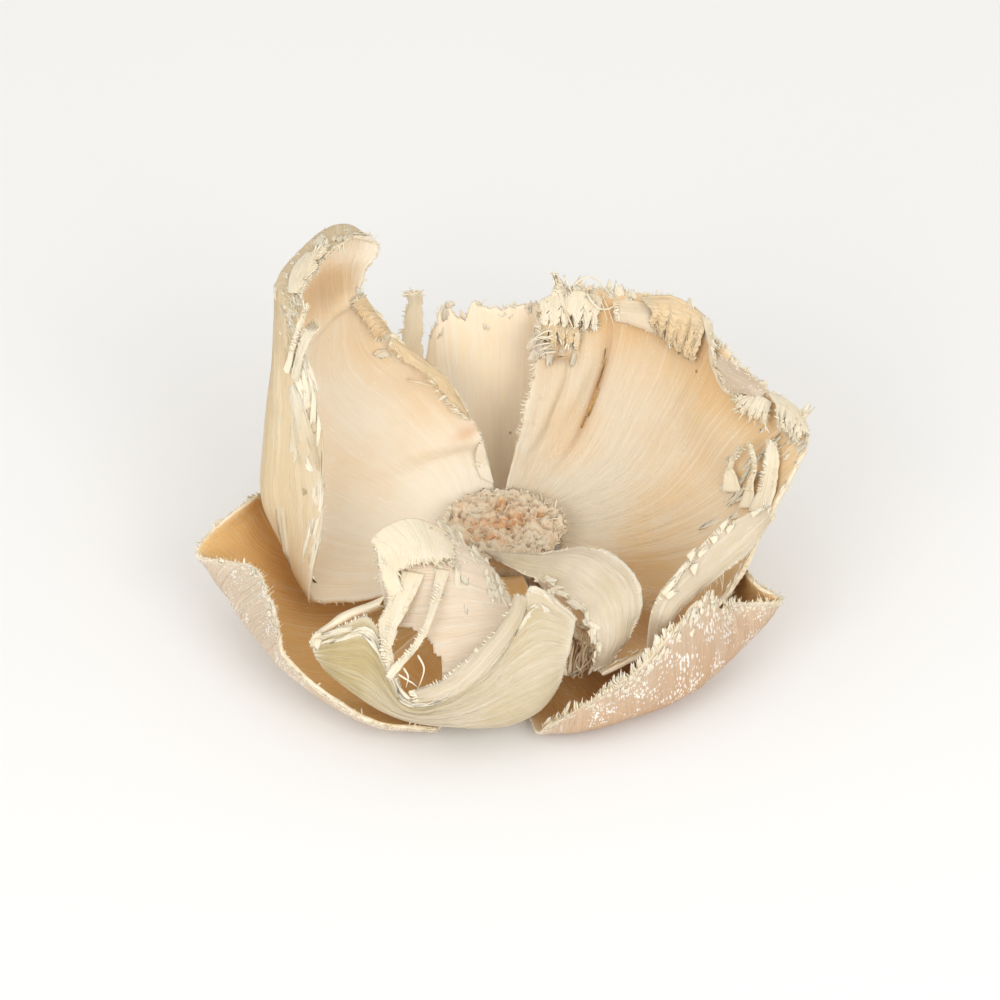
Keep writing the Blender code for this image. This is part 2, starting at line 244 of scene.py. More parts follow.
def fibres(name, paths, width, flat, finish):
    """One mesh of tapered fibres, round where flat is 0 and ribbons of half width flat elsewhere. paths are
    (points in mm, scale)."""
    if flat:
        corners = ((flat, 0), (0, width), (-flat, 0), (0, -width))
    else:
        corners = ((width, 0), (-0.5 * width, 0.87 * width), (-0.5 * width, -0.87 * width))
    outline = bpy.data.curves.new(name + " outline", "CURVE")
    ring = outline.splines.new("POLY")
    ring.points.add(len(corners) - 1)
    for point, corner in zip(ring.points, corners):
        point.co = (corner[0] * MM, corner[1] * MM, 0, 1)
    ring.use_cyclic_u = True
    section = bpy.data.objects.new(name + " outline", outline)
    bpy.context.scene.collection.objects.link(section)
    curve = bpy.data.curves.new(name, "CURVE")
    curve.dimensions = "3D"
    curve.bevel_mode = "OBJECT"
    curve.bevel_object = section
    curve.use_fill_caps = True
    for points, size in paths:
        spline = curve.splines.new("POLY")
        spline.points.add(len(points) - 1)
        for k, point in enumerate(points):
            spline.points[k].co = (*[MM * float(value) for value in point], 1)
            x = k / (len(points) - 1)
            spline.points[k].radius = size * (1 - x ** 2 * TIP_TAPER)
            spline.points[k].tilt = 0.6 * x + 2.0 * size
    made = bpy.data.objects.new(name, curve)
    bpy.context.scene.collection.objects.link(made)
    fresh()
    made.select_set(True)
    bpy.context.view_layer.objects.active = made
    bpy.ops.object.convert(target="MESH")
    bpy.data.objects.remove(section)
    made = start_piece(name)
    bpy.ops.object.mode_set(mode="EDIT")
    bpy.ops.mesh.select_all(action="SELECT")
    bpy.ops.mesh.remove_doubles(threshold=1e-7)
    bpy.ops.mesh.normals_make_consistent(inside=False)
    bpy.ops.object.mode_set(mode="OBJECT")
    made.data.shade_smooth()
    made.data.materials.clear()
    made.data.materials.append(finish)
    return made


def straw_material(name, light, dark, roughness=0.75):
    """Plain torn fibre: two tones in patches a few millimetres across."""
    made, tree, shader = own_material(name, roughness)
    place = add_node(tree, "ShaderNodeTexCoord").outputs["Object"]
    patches = rough_noise(tree, place, 420.0, 3.0)
    colour = blended(tree, banded(tree, patches, 0.38, 0.62), light, dark)
    tree.links.new(colour, shader.inputs["Base Color"])
    raised(tree, shader, rough_noise(tree, place, 5200.0, 2.0), 0.00008)
    return made


SCAR_FIBRE = straw_material("scar fibre", (1.0, 0.92, 0.74), (1.0, 0.86, 0.66), 0.9)
STAINED_FIBRE = straw_material("stained scar fibre", (0.92, 0.62, 0.36), (0.74, 0.42, 0.20), 0.9)


def scar_curls(stained, count, draw):
    """Curly fibre ends, either on the orange stains or off them."""
    made = []
    while len(made) < count:
        angle = draw.uniform(0, math.tau)
        reach = SCAR_RADIUS * math.sqrt(draw.random()) * 0.98
        x, y = reach * math.cos(angle), reach * math.sin(angle)
        if (scar_stain(x, y) > 0.4) != stained:
            continue
        base = Vector((x, y, SCAR_HEIGHT - 0.5 + scar_lumps(x, y)))
        heading = draw.uniform(0, math.tau)
        length = draw.uniform(0.7, 1.9)
        lean = Vector((math.cos(heading), math.sin(heading), 0))
        side = Vector((-lean.y, lean.x, 0)) * draw.uniform(-1.1, 1.1)
        path = []
        for k in range(6):
            f = k / 5
            rise = Vector((0, 0, length * 0.36 * math.sin(f * 2.6)))
            path.append(base + lean * length * 0.8 * f + side * length * f * f + rise)
        made.append((path, draw.uniform(0.6, 1.4)))
    return made


scar_draw = random.Random(11)
loose = scar_curls(False, LOOSE_CURLS, scar_draw)
finish_piece(fibres("receptacle_scar_fibres", loose, 0.12, 0, SCAR_FIBRE), "receptacle")
stained = scar_curls(True, STAINED_CURLS, scar_draw)
finish_piece(fibres("receptacle_stained_fibres", stained, 0.12, 0, STAINED_FIBRE), "receptacle")
lip_paths = []
for k in range(LIP_FIBRES):
    angle = math.tau * (k + scar_draw.random()) / LIP_FIBRES
    out = Vector((math.cos(angle), math.sin(angle), 0))
    turn = Vector((-out.y, out.x, 0)) * scar_draw.gauss(0, 0.5)
    height = SCAR_HEIGHT - 0.9 + 0.7 * scar_lumps(9 * out.x, 9 * out.y) / SCAR_RELIEF
    base = out * (SCAR_RADIUS - 0.5) + Vector((0, 0, height))
    length = scar_draw.uniform(0.7, 1.9) * (1.4 if 0.3 < math.sin(2.2 * angle + 1) else 0.8)
    path = []
    for f in (0, 0.3, 0.6, 0.85, 1):
        path.append(base + (out * 0.5 + turn) * length * f + Vector((0, 0, 1.1 * length * (f - 0.55 * f * f))))
    lip_paths.append((path, scar_draw.uniform(0.6, 1.3)))
finish_piece(fibres("receptacle_scar_lip", lip_paths, 0.06, 0.2, SCAR_FIBRE), "receptacle")


# Outer back tepal. A thick leathery sheet of long fibres, narrow at its seat and torn along the top.
# It stands behind the two inner ones. Its skin is smooth inside and fibrous outside.
OUTER_RING_HEIGHT = 4.0
SEAT_GAP = 0.35
TEPAL_WALL = 1.2
STRIP_WALL = 0.7
THINNEST_SHARE = 0.12
WALL_LEVELS = 12
HAIR_SHARE = 0.22
ROOT_DEPTH = 0.9
FLAKE_WALL = 0.12
FLAKE_RISE = 0.4
# Colour of painted shade, mixed in by the deep patches of the sheets.
PAINTED_SHADE_COLOUR = (0.42, 0.19, 0.06)
THREAD_COLOUR = (0.95, 0.89, 0.78)
FLECK_COLOUR = (0.96, 0.93, 0.88)
SPECK_COLOUR = (0.36, 0.17, 0.07)
DASH_COLOUR = (0.97, 0.93, 0.86)
FRAYED_COLOUR = (0.93, 0.86, 0.71)
STAIN_COLOUR = (0.68, 0.33, 0.11)


def collar(start, end, height, count):
    """Seat points of a tepal, from one angle to another in degrees, just clear of the receptacle."""
    radius = WALL_RADIUS + SEAT_GAP
    angles = [math.radians(start + (end - start) * i / (count - 1)) for i in range(count)]
    return [(radius * math.cos(a), radius * math.sin(a), height) for a in angles]


def on_net(net, s, t):
    """Points in mm on the smooth sheet through a net, at s from margin to margin and t from seat to rim."""
    grid = np.array(net, float)
    grid = np.concatenate([2 * grid[:1] - grid[1:2], grid, 2 * grid[-1:] - grid[-2:-1]])
    first, last = 2 * grid[:, :1] - grid[:, 1:2], 2 * grid[:, -1:] - grid[:, -2:-1]
    grid = np.concatenate([first, grid, last], axis=1)

    def weights(x, spans):
        x = np.clip(x, 0, 1) * spans
        k = np.minimum(x.astype(int), spans - 1)
        f = x - k
        parts = (2 * f**2 - f - f**3, 2 - 5 * f**2 + 3 * f**3, f + 4 * f**2 - 3 * f**3, f**3 - f**2)
        return k, [part / 2 for part in parts]

    ks, ws = weights(np.atleast_1d(s).astype(float), grid.shape[1] - 3)
    kt, wt = weights(np.atleast_1d(t).astype(float), grid.shape[0] - 3)
    return sum((wt[i] * ws[j])[:, None] * grid[kt + i, ks + j] for i in range(4) for j in range(4))


def net_span(net):
    """Width and length in mm of a net's sheet."""
    steps = np.linspace(0, 1, 60)
    wide = on_net(net, steps, np.full(60, 0.85))
    long = on_net(net, np.full(60, 0.5), steps)
    return [np.linalg.norm(np.diff(line, axis=0), axis=1).sum() for line in (wide, long)]


def skin_frame(net, s, t):
    """Direction across, direction to the rim and the inside's normal, for arrays s and t."""
    step = 0.004
    s, t = (np.clip(np.atleast_1d(value).astype(float), step, 1 - step) for value in (s, t))
    across = on_net(net, s + step, t) - on_net(net, s - step, t)
    along = on_net(net, s, t + step) - on_net(net, s, t - step)
    across /= np.linalg.norm(across, axis=1)[:, None] + 1e-9
    along /= np.linalg.norm(along, axis=1)[:, None] + 1e-9
    normal = np.cross(across, along)
    normal /= np.linalg.norm(normal, axis=1)[:, None] + 1e-9
    return across, along, normal


def noise_at(points, seed):
    """Smooth noise from -1 to 1, at points already scaled to its grid."""
    return np.array([noise.noise((x + 7.3 * seed, y + 3.1 * seed, z + 5.7 * seed)) for x, y, z in points])


def along_noise(x, scale, seed):
    """Smooth noise along one line."""
    return noise_at(np.stack([x * scale, np.zeros_like(x), np.zeros_like(x)], axis=1), seed)


def ragged(x, seed):
    """Torn outline from 0 to 1 at places x in mm along a margin: bays, teeth and fibre ends."""
    bays = np.clip(0.5 + along_noise(x, 0.14, seed), 0, 1)
    teeth = np.abs(along_noise(x, 0.5, seed + 1))
    ends = np.abs(along_noise(x, 1.7, seed + 2))
    return np.clip(0.5 * bays + 0.6 * teeth + 0.45 * ends, 0, 1.3)


def bitten(net, s, t, bites, tears=()):
    """s and t drawn back from the torn margins. bites are mm at the rim, left and right margin and a seed;
    tears are deeper bays as (margin, place, half width, mm)."""
    wide, long = net_span(net)
    rim_bite, left_bite, right_bite, seed = bites
    rim_in = ragged(s * wide, seed) * rim_bite
    left_in = ragged(t * long, seed + 5) * left_bite
    right_in = ragged(t * long, seed + 9) * right_bite
    for margin, place, half, deep in tears:
        bay = deep * np.exp(-(((s if margin == "rim" else t) - place) / half) ** 4)
        if margin == "rim":
            rim_in = rim_in + bay
        elif margin == "left":
            left_in = left_in + bay
        else:
            right_in = right_in + bay
    grown = np.clip(t * 3.0 - 0.2, 0, 1)
    deepest = max([deep for _, _, _, deep in tears], default=0)
    rim_power = np.clip(0.85 * long / (rim_bite + deepest + 0.01) - 1, 1, 8)
    side_power = np.clip(0.85 * wide / (max(left_bite, right_bite) + deepest + 0.01) - 1, 2, 12)
    new_t = t * (1 - np.minimum(rim_in / long, 0.55) * t ** rim_power)
    new_s = s + grown * (left_in * (1 - s) ** side_power - right_in * s ** side_power) / wide
    return new_s, new_t


def within(polygon, x, y):
    """Which of the points (x, y) are inside a polygon."""
    inside = np.zeros(len(x), bool)
    for (ax, ay), (bx, by) in zip(polygon, polygon[1:] + polygon[:1]):
        crosses = (ay > y) != (by > y)
        inside ^= crosses & (x < (bx - ax) * (y - ay) / (by - ay + 1e-12) + ax)
    return inside


TORN_EDGE = straw_material("torn edge", (0.96, 0.87, 0.70), (0.90, 0.76, 0.54))
PALE_FIBRE = straw_material("pale torn fibre", (1.0, 0.93, 0.77), (0.96, 0.85, 0.63))


def leather_sheet(name, net, cell, bites=(1.0, 0.5, 0.5, 1), tears=(), wave=0.4, ridges=0.12, edge=0.3,
                  wall=STRIP_WALL, warm=(), deep=(), stains=(), turned=False, gaps=(), creases=(), swell=0.3):
    """A tepal's sheet: relief on the net, torn margins and a wall that thins towards them. warm, deep and
    stains are patches of colour (s, t, reach in s, reach in t, strength): warm patches are partly the
    tissue's own warmer tone and partly painted warm shade, deep patches are painted shade, and stains are
    the tissue's own stains; gaps are torn holes, as polygons of (s, t); creases are folds (s, t, s, t, half
    width, height) in mm; turned is for fibres that run from margin to margin."""
    wide, long = net_span(net)
    fresh()
    bpy.ops.mesh.primitive_grid_add(
        x_subdivisions=max(8, round(wide / cell)), y_subdivisions=max(8, round(long / cell)), size=1, calc_uvs=True
    )
    made = start_piece(name)
    mesh = made.data
    count = len(mesh.vertices)
    flat = np.empty(count * 3, np.float32)
    mesh.vertices.foreach_get("co", flat)
    s, t = np.clip(flat.reshape(-1, 3)[:, :2].astype(float).T + 0.5, 0, 1)
    real_s, real_t = bitten(net, s, t, bites, tears)
    points = on_net(net, real_s, real_t)
    _, _, normal = skin_frame(net, real_s, real_t)
    margin = np.minimum(np.minimum(real_s, 1 - real_s) * wide, (1 - real_t) * long)
    margin = np.clip(margin, 0, None)
    near = np.exp(-margin / 3.5)
    seated = np.clip(real_t * 6, 0, 1)
    u, v = (t * long, s * wide) if turned else (s * wide, t * long)
    seed = bites[3]
    lift = swell * noise_at(points * 0.09, seed) + wave * near * noise_at(points * 0.3, seed + 3)
    lift += ridges * noise_at(np.stack([u * 0.45, v * 0.05, 0 * u], axis=1), seed + 4)
    lift += 0.4 * ridges * noise_at(np.stack([u * 1.1, v * 0.12, 0 * u], axis=1), seed + 6)
    for s0, t0, s1, t1, half, height in creases:
        ax, ay, bx, by = s0 * wide, t0 * long, s1 * wide, t1 * long
        x, y = s * wide + noise_at(points * 0.15, 31), t * long + noise_at(points * 0.15, 32)
        along = np.clip(((x - ax) * (bx - ax) + (y - ay) * (by - ay)) / ((bx - ax) ** 2 + (by - ay) ** 2), 0, 1)
        away = np.hypot(x - ax - along * (bx - ax), y - ay - along * (by - ay))
        lift += height * np.exp(-(away / half) ** 2) * (0.25 + 3 * along * (1 - along))
    points += normal * (lift * seated)[:, None]
    mesh.vertices.foreach_set("co", (points * MM).astype(np.float32).ravel())
    point_layer(mesh, "Fibre", np.stack([u, v, np.full(count, 9.0 * seed)], axis=1))
    for label, patches in (("WarmToneAndShade", warm), ("PaintedShade", deep), ("Stain", stains)):
        value = np.zeros(count)
        for ps, pt, rs, rt, strength in patches:
            value += strength * np.exp(-((s - ps) / rs) ** 2 - ((t - pt) / rt) ** 2)
        point_layer(mesh, label, np.clip(value, 0, 1))
    point_layer(mesh, "Frayed", np.exp(-margin / min(0.8, 0.05 * min(wide, long))))
    if gaps:
        jitter = 0.25 * noise_at(points * 0.9, seed + 12)
        inside = np.zeros(count, bool)
        for polygon in gaps:
            inside |= within(polygon, s + jitter / wide, t + jitter / long)
        for face in mesh.polygons:
            face.select = bool(sum(inside[k] for k in face.vertices) > 2)
        bpy.ops.object.mode_set(mode="EDIT")
        bpy.ops.mesh.select_mode(type="FACE")
        bpy.ops.mesh.delete(type="FACE")
        bpy.ops.object.mode_set(mode="OBJECT")
    thin = np.exp(-margin / 2.0)
    if len(mesh.vertices) < count:
        frayed = np.empty(len(mesh.vertices), np.float32)
        mesh.attributes["Frayed"].data.foreach_get("value", frayed)
        thin = np.clip(frayed, 1e-6, 1) ** 0.45
    share = np.clip(edge + (1 - edge) * (1 - thin), THINNEST_SHARE, 1)
    group = made.vertex_groups.new(name="Wall")
    for level in range(WALL_LEVELS):
        chosen = np.nonzero(np.round(share * (WALL_LEVELS - 1)).astype(int) == level)[0]
        if len(chosen):
            group.add(chosen.tolist(), level / (WALL_LEVELS - 1), "REPLACE")
    for _ in range(3):
        mesh.materials.append(TORN_EDGE)
    solid = made.modifiers.new("Wall", "SOLIDIFY")
    solid.thickness = wall * MM
    solid.offset = 0
    solid.vertex_group = "Wall"
    solid.material_offset = 1
    solid.material_offset_rim = 2
    bpy.ops.object.modifier_apply(modifier="Wall")
    mesh.shade_smooth()
    return made


def leather_material(name, base, warm, streak, flecks=0.0, specks=0.0, bump=1.0, contrast=1.0):
    """Dry plant leather. Streaks and ridges run with the fibres; flecks are pale scales, specks brown dots.
    warm is mixed in by random clouds and by the sheet's warm patches, which are partly the tissue's own
    warmer tone and partly painted warm shade; the sheet's deep patches mix in painted shade.
    """
    made, tree, shader = own_material(name, 0.6)
    place = add_node(tree, "ShaderNodeTexCoord").outputs["Object"]
    fibre = fibre_attribute(tree, "Fibre").outputs["Vector"]
    broad = add_node(tree, "ShaderNodeMapping", {"Vector": fibre, "Scale": (1.3, 0.035, 1)}).outputs[0]
    fine = add_node(tree, "ShaderNodeMapping", {"Vector": fibre, "Scale": (5.5, 0.16, 1)}).outputs[0]
    streaks = rough_noise(tree, broad, 1.0, 4.0, 0.6)
    threads = rough_noise(tree, fine, 1.0, 3.0, 0.6)
    clouds = rough_noise(tree, place, 75.0, 3.0, 0.55)
    grain = rough_noise(tree, place, 1500.0, 3.0, 0.6)
    # Warm patches: partly the tissue's own warmer tone, partly painted warm shade.
    warm_and_shade_share = fibre_attribute(tree, "WarmToneAndShade").outputs["Fac"]
    cloudy = banded(tree, clouds, 0.40, 0.72, 0.6)
    share = add_node(tree, "ShaderNodeMath", {0: warm_and_shade_share, 1: cloudy}, operation="ADD", use_clamp=True)
    colour = blended(tree, share.outputs[0], base, warm)
    colour = blended(tree, banded(tree, streaks, 0.5, 0.78, 0.75 * contrast), colour, streak)
    colour = blended(tree, banded(tree, threads, 0.58, 0.85, 0.8 * contrast), colour, THREAD_COLOUR)
    # Painted shade: dark brown where the sheet's deep patches lie.
    colour = blended(tree, fibre_attribute(tree, "PaintedShade").outputs["Fac"], colour, PAINTED_SHADE_COLOUR)
    if flecks:
        flat = add_node(tree, "ShaderNodeMapping", {"Vector": fibre, "Scale": (1.0, 0.5, 1)}).outputs[0]
        cells = add_node(tree, "ShaderNodeTexVoronoi", {"Vector": flat, "Scale": 2.5, "Randomness": 1.0})
        wobble = rough_noise(tree, place, 1700.0, 2.0)
        size = banded(tree, rough_noise(tree, place, 260.0, 2.0), 0.30, 0.72, 0.30 * flecks)
        reach = add_node(tree, "ShaderNodeMath", {0: cells.outputs["Distance"], 1: wobble}, operation="MULTIPLY")
        spot = add_node(tree, "ShaderNodeMath", {0: size, 1: reach.outputs[0]}, operation="SUBTRACT")
        colour = blended(tree, banded(tree, spot.outputs[0], -0.02, 0.08, 0.85), colour, FLECK_COLOUR)
    if specks:
        cells = add_node(tree, "ShaderNodeTexVoronoi", {"Vector": place, "Scale": 230.0, "Randomness": 1.0})
        dots = banded(tree, cells.outputs["Distance"], 0.075, 0.045)
        rare = banded(tree, rough_noise(tree, place, 140.0, 1.0), 0.53, 0.57, specks)
        both = add_node(tree, "ShaderNodeMath", {0: dots, 1: rare}, operation="MULTIPLY")
        colour = blended(tree, both.outputs[0], colour, SPECK_COLOUR)
        dashes = add_node(tree, "ShaderNodeMapping", {"Vector": fibre, "Scale": (3.2, 0.7, 1)}).outputs[0]
        cells = add_node(tree, "ShaderNodeTexVoronoi", {"Vector": dashes, "Scale": 0.9, "Randomness": 1.0})
        some = banded(tree, rough_noise(tree, place, 190.0, 1.0), 0.5, 0.62, 0.7)
        near = banded(tree, cells.outputs["Distance"], 0.2, 0.1)
        light = add_node(tree, "ShaderNodeMath", {0: near, 1: some}, operation="MULTIPLY")
        colour = blended(tree, light.outputs[0], colour, DASH_COLOUR)
    colour = blended(tree, fibre_attribute(tree, "Frayed").outputs["Fac"], colour, FRAYED_COLOUR)
    colour = blended(tree, fibre_attribute(tree, "Stain").outputs["Fac"], colour, STAIN_COLOUR)
    tree.links.new(colour, shader.inputs["Base Color"])
    first = raised(tree, shader, streaks, 0.0004 * bump)
    second = raised(tree, shader, threads, 0.00016 * bump, first)
    raised(tree, shader, grain, 0.00005 * bump, second)
    shader.inputs["Subsurface Weight"].default_value = 0.08
    shader.inputs["Subsurface Radius"].default_value = (1.0, 0.55, 0.25)
    shader.inputs["Subsurface Scale"].default_value = 0.0006
    return made


def dressed(made, inner, outer, slot, *nodes):
    """Gives a sheet the finishes of its inner face and its outer face; its torn edge keeps the finish that
    leather_sheet gave it.
    """
    made.data.materials[0] = inner
    made.data.materials[1] = outer
    finish_piece(made, slot, *nodes)


def fringe(name, net, where, bites, tears=(), length=1.2, every=0.26, curl=0.35, spread=0.3, ribbon=0.2,
           finish=PALE_FIBRE, slot="inner_tepals"):
    """Torn fibre ends along margins, in tongues of flat ribbons with hairs between them. where lists
    (margin, start, end, length factor)."""
    local = random.Random(bites[3])
    wide, long = net_span(net)
    ribbons, hairs = [], []
    for margin, start, end, factor in where:
        reach_mm = (wide if margin == "rim" else long) * (end - start)
        count = max(4, int(reach_mm / every))
        places = np.array([start + (end - start) * (k + local.random()) / count for k in range(count)])
        if margin == "rim":
            s, t = places, np.ones(count)
        else:
            s, t = np.full(count, 0.0 if margin == "left" else 1.0), places
        real_s, real_t = bitten(net, s, t, bites, tears)
        roots = on_net(net, real_s, real_t)
        side, along, normal = skin_frame(net, real_s, real_t)
        outward = {"rim": along, "left": -side, "right": side}[margin]
        skew = {"rim": side, "left": along, "right": along}[margin]
        mm = places * (wide if margin == "rim" else long)
        tongue = np.clip(0.25 + 1.6 * np.abs(along_noise(mm, 0.45, bites[3] + 20)), 0, 1.5)
        sway = 1.2 * along_noise(mm, 0.35, bites[3] + 21)
        bow = 1.2 * along_noise(mm, 0.3, bites[3] + 22)
        for k in range(count):
            hair = local.random() < HAIR_SHARE
            reach = length * factor * tongue[k] * local.uniform(0.6, 1.15) * (1.3 if hair else 1.0)
            heading = outward[k] + skew[k] * (0.5 * sway[k] + local.gauss(0, spread))
            heading += normal[k] * (0.25 * bow[k] + local.gauss(0, 0.6 * spread))
            heading /= np.linalg.norm(heading)
            bend = (normal[k] * (bow[k] + local.gauss(0, 0.5)) + skew[k] * (sway[k] + local.gauss(0, 0.5))) * curl
            root = roots[k] - outward[k] * ROOT_DEPTH
            full = ROOT_DEPTH + reach
            path = [root + heading * full * f + bend * reach * f * f for f in (0, 0.3, 0.6, 0.85, 1)]
            (hairs if hair else ribbons).append((path, local.uniform(0.6, 1.4)))
    finish_piece(fibres(name + "_tongues", ribbons, 0.05, ribbon, finish), slot)
    if hairs:
        finish_piece(fibres(name + "_hairs", hairs, 0.06, 0, finish), slot)


CREAM_SKIN = leather_material("cream torn face", (0.91, 0.81, 0.62), (0.88, 0.73, 0.50), (0.94, 0.88, 0.76))


def peels(name, net, where, count, seed, reach=(2.0, 6.0), width=(0.8, 2.0), lift=0.5, face=1, turned=False,
          finish=CREAM_SKIN, slot="inner_tepals", bites=None):
    """Flakes half torn from a face: each lies on the sheet at its root and lifts off to its ragged tip.
    where is the patch of the roots (s, s, t, t); face is 1 for the inside and -1 for the outside."""
    local = np.random.default_rng(seed)
    wide, long = net_span(net)
    rows, columns = 5, 4
    each = np.repeat(np.arange(count), rows * columns)
    f = np.tile(np.repeat(np.linspace(0, 1, rows), columns), count)
    c = np.tile(np.linspace(-1, 1, columns), rows * count)

    def drawn(low, high):
        return local.uniform(low, high, count)[each]

    torn = np.tile(local.uniform(0.55, 1.0, (count, 1, columns)), (1, rows, 1)).ravel()
    length, half = drawn(*reach) * torn, 0.5 * drawn(*width)
    s, t = drawn(where[0], where[1]), drawn(where[2], where[3])
    heading, drift = np.where(drawn(0, 1) < 0.8, 1.0, -1.0), drawn(-0.25, 0.25)
    narrow = 1 - 0.45 * f ** 2
    run, cross = length * f * heading, length * f * drift + c * half * narrow
    if turned:
        run, cross = cross, run
    new_s, new_t = s + cross / wide, t + run / long
    real_s, real_t = np.clip(new_s, 0, 1), np.clip(new_t, 0, 1)
    if bites:
        real_s, real_t = bitten(net, real_s, real_t, bites)
    points = on_net(net, real_s, real_t)
    side, along, normal = skin_frame(net, real_s, real_t)
    points += along * (np.clip(new_t - 1, 0, None) * long)[:, None]
    points += side * ((new_s - np.clip(new_s, 0, 1)) * wide)[:, None]
    bulge = drawn(-0.25, 0.35) * c ** 2 * f + 0.2 * drawn(-1, 1) * np.sin(3 * f + 2 * c)
    points += normal * (face * (FLAKE_RISE + lift * (drawn(0.2, 1.3) * f ** 2 + bulge)))[:, None]
    quads = []
    for k in range(count):
        for i in range(rows - 1):
            for j in range(columns - 1):
                corner = (k * rows + i) * columns + j
                quads.append((corner, corner + 1, corner + columns + 1, corner + columns))
    mesh = bpy.data.meshes.new(name)
    mesh.from_pydata((points * MM).tolist(), [], quads)
    made = bpy.data.objects.new(name, mesh)
    bpy.context.scene.collection.objects.link(made)
    fresh()
    made.select_set(True)
    bpy.context.view_layer.objects.active = made
    point_layer(mesh, "Fibre", np.stack([c * half + 4.0 * each, length * f, 0 * f], axis=1))
    point_layer(mesh, "Frayed", 0.8 * f ** 2)
    solid = made.modifiers.new("Wall", "SOLIDIFY")
    solid.thickness = FLAKE_WALL * MM
    solid.offset = 0
    bpy.ops.object.modifier_apply(modifier="Wall")
    mesh.shade_smooth()
    mesh.materials.append(finish)
    finish_piece(made, slot)


# Inner face of the back tepal, painted lighter than the other inner faces: pale cream of its own, with painted
# light for a face that stands in shade behind the inner tepals.
BACK_SKIN_WITH_PAINTED_LIGHT = leather_material("back inner face with painted light", (1.0, 0.93, 0.79), (1.0, 0.84, 0.62), (1.0, 0.95, 0.86),
                             specks=0.6, bump=0.5, contrast=0.8)
PEACH_SKIN = leather_material("peach outer face", (0.665, 0.545, 0.415), (0.68, 0.47, 0.30), (0.80, 0.69, 0.56),
                              flecks=1.0)
PEACH_PLAIN = leather_material("peach torn face", (0.85, 0.73, 0.58), (0.80, 0.62, 0.44), (0.92, 0.85, 0.73))

back_net = [
    collar(142, 38, OUTER_RING_HEIGHT, 8),
    [(-19, 12, 5), (-14, 14.5, 4.6), (-9, 16, 4.6), (-5, 17, 4.8), (0, 17.5, 5), (6, 16.8, 4.7), (12, 14.5, 4.6),
     (18, 12, 5)],
    [(-27, 19, 12), (-20, 21.5, 12.5), (-13, 23, 13.5), (-8, 23.8, 14.5), (0, 24, 15), (8, 23.5, 14),
     (16, 22, 12.5), (24, 19, 11)],
    [(-29, 24, 18), (-21, 26.5, 18.5), (-14, 27.5, 20), (-9.5, 28, 24), (0, 28, 26), (9, 28, 25), (18, 26.5, 20),
     (27, 24, 17)],
    [(-29, 26, 23), (-21, 28.5, 23), (-13.6, 29.5, 24.5), (-10.5, 31, 36.5), (0, 30.5, 37), (9, 30, 36),
     (18, 28.5, 28), (27, 26, 21)],
]
back_bites = (2.4, 0.8, 0.8, 5)
back_tears = (("rim", 0.475, 0.02, 2.4), ("rim", 0.385, 0.02, 1.2))
# Warm patches: warmer along the top, and painted warm shade where it meets the broad tepal.
back = leather_sheet("back_tepal_skin", back_net, 0.5, back_bites, back_tears, wave=0.5, ridges=0.16,
                     wall=TEPAL_WALL, warm=((0.5, 0.92, 0.3, 0.25, 0.9), (0.62, 0.5, 0.12, 0.4, 0.7)))
dressed(back, BACK_SKIN_WITH_PAINTED_LIGHT, PEACH_SKIN, "outer_tepals", "tepal_outer_back")
fringe("back_tepal_fringe", back_net, (("rim", 0.33, 1.0, 1.0), ("rim", 0, 0.33, 0.8)), back_bites, back_tears,
       length=1.3, slot="outer_tepals")
peels("back_tepal_peels", back_net, (0.3, 1.0, 0.92, 0.99), 46, 501, (1.0, 2.6), (0.8, 2.2), 0.35,
      finish=PEACH_PLAIN, slot="outer_tepals", bites=back_bites)


# Torn strip beside the back tepal. A ribbon of the same dry fibre. It split from the left of the back
# tepal, stands free above its foot and curls forward at its end.
torn_net = [
    [(-18.5, 27.2, 20), (-16, 27.2, 20), (-13.2, 27.6, 20)],
    [(-17.9, 30, 29), (-15.8, 29.3, 29), (-13.5, 30.2, 29)],
    [(-16.6, 31.2, 36), (-15, 30.5, 36), (-13.2, 31.2, 36)],
    [(-16.4, 29.5, 39.4), (-15.4, 29.2, 39.8), (-14.2, 29.8, 39.8)],
]
torn_bites = (1.5, 0.8, 0.8, 7)
torn_strip = leather_sheet("back_tepal_torn_strip", torn_net, 0.3, torn_bites, wave=0.3, wall=0.8)
dressed(torn_strip, CREAM_SKIN, CREAM_SKIN, "outer_tepals")
fringe("back_tepal_strip_fringe", torn_net, (("rim", 0, 1, 1.3), ("left", 0.4, 1, 0.8), ("right", 0.3, 1, 0.6)),
       torn_bites, slot="outer_tepals")


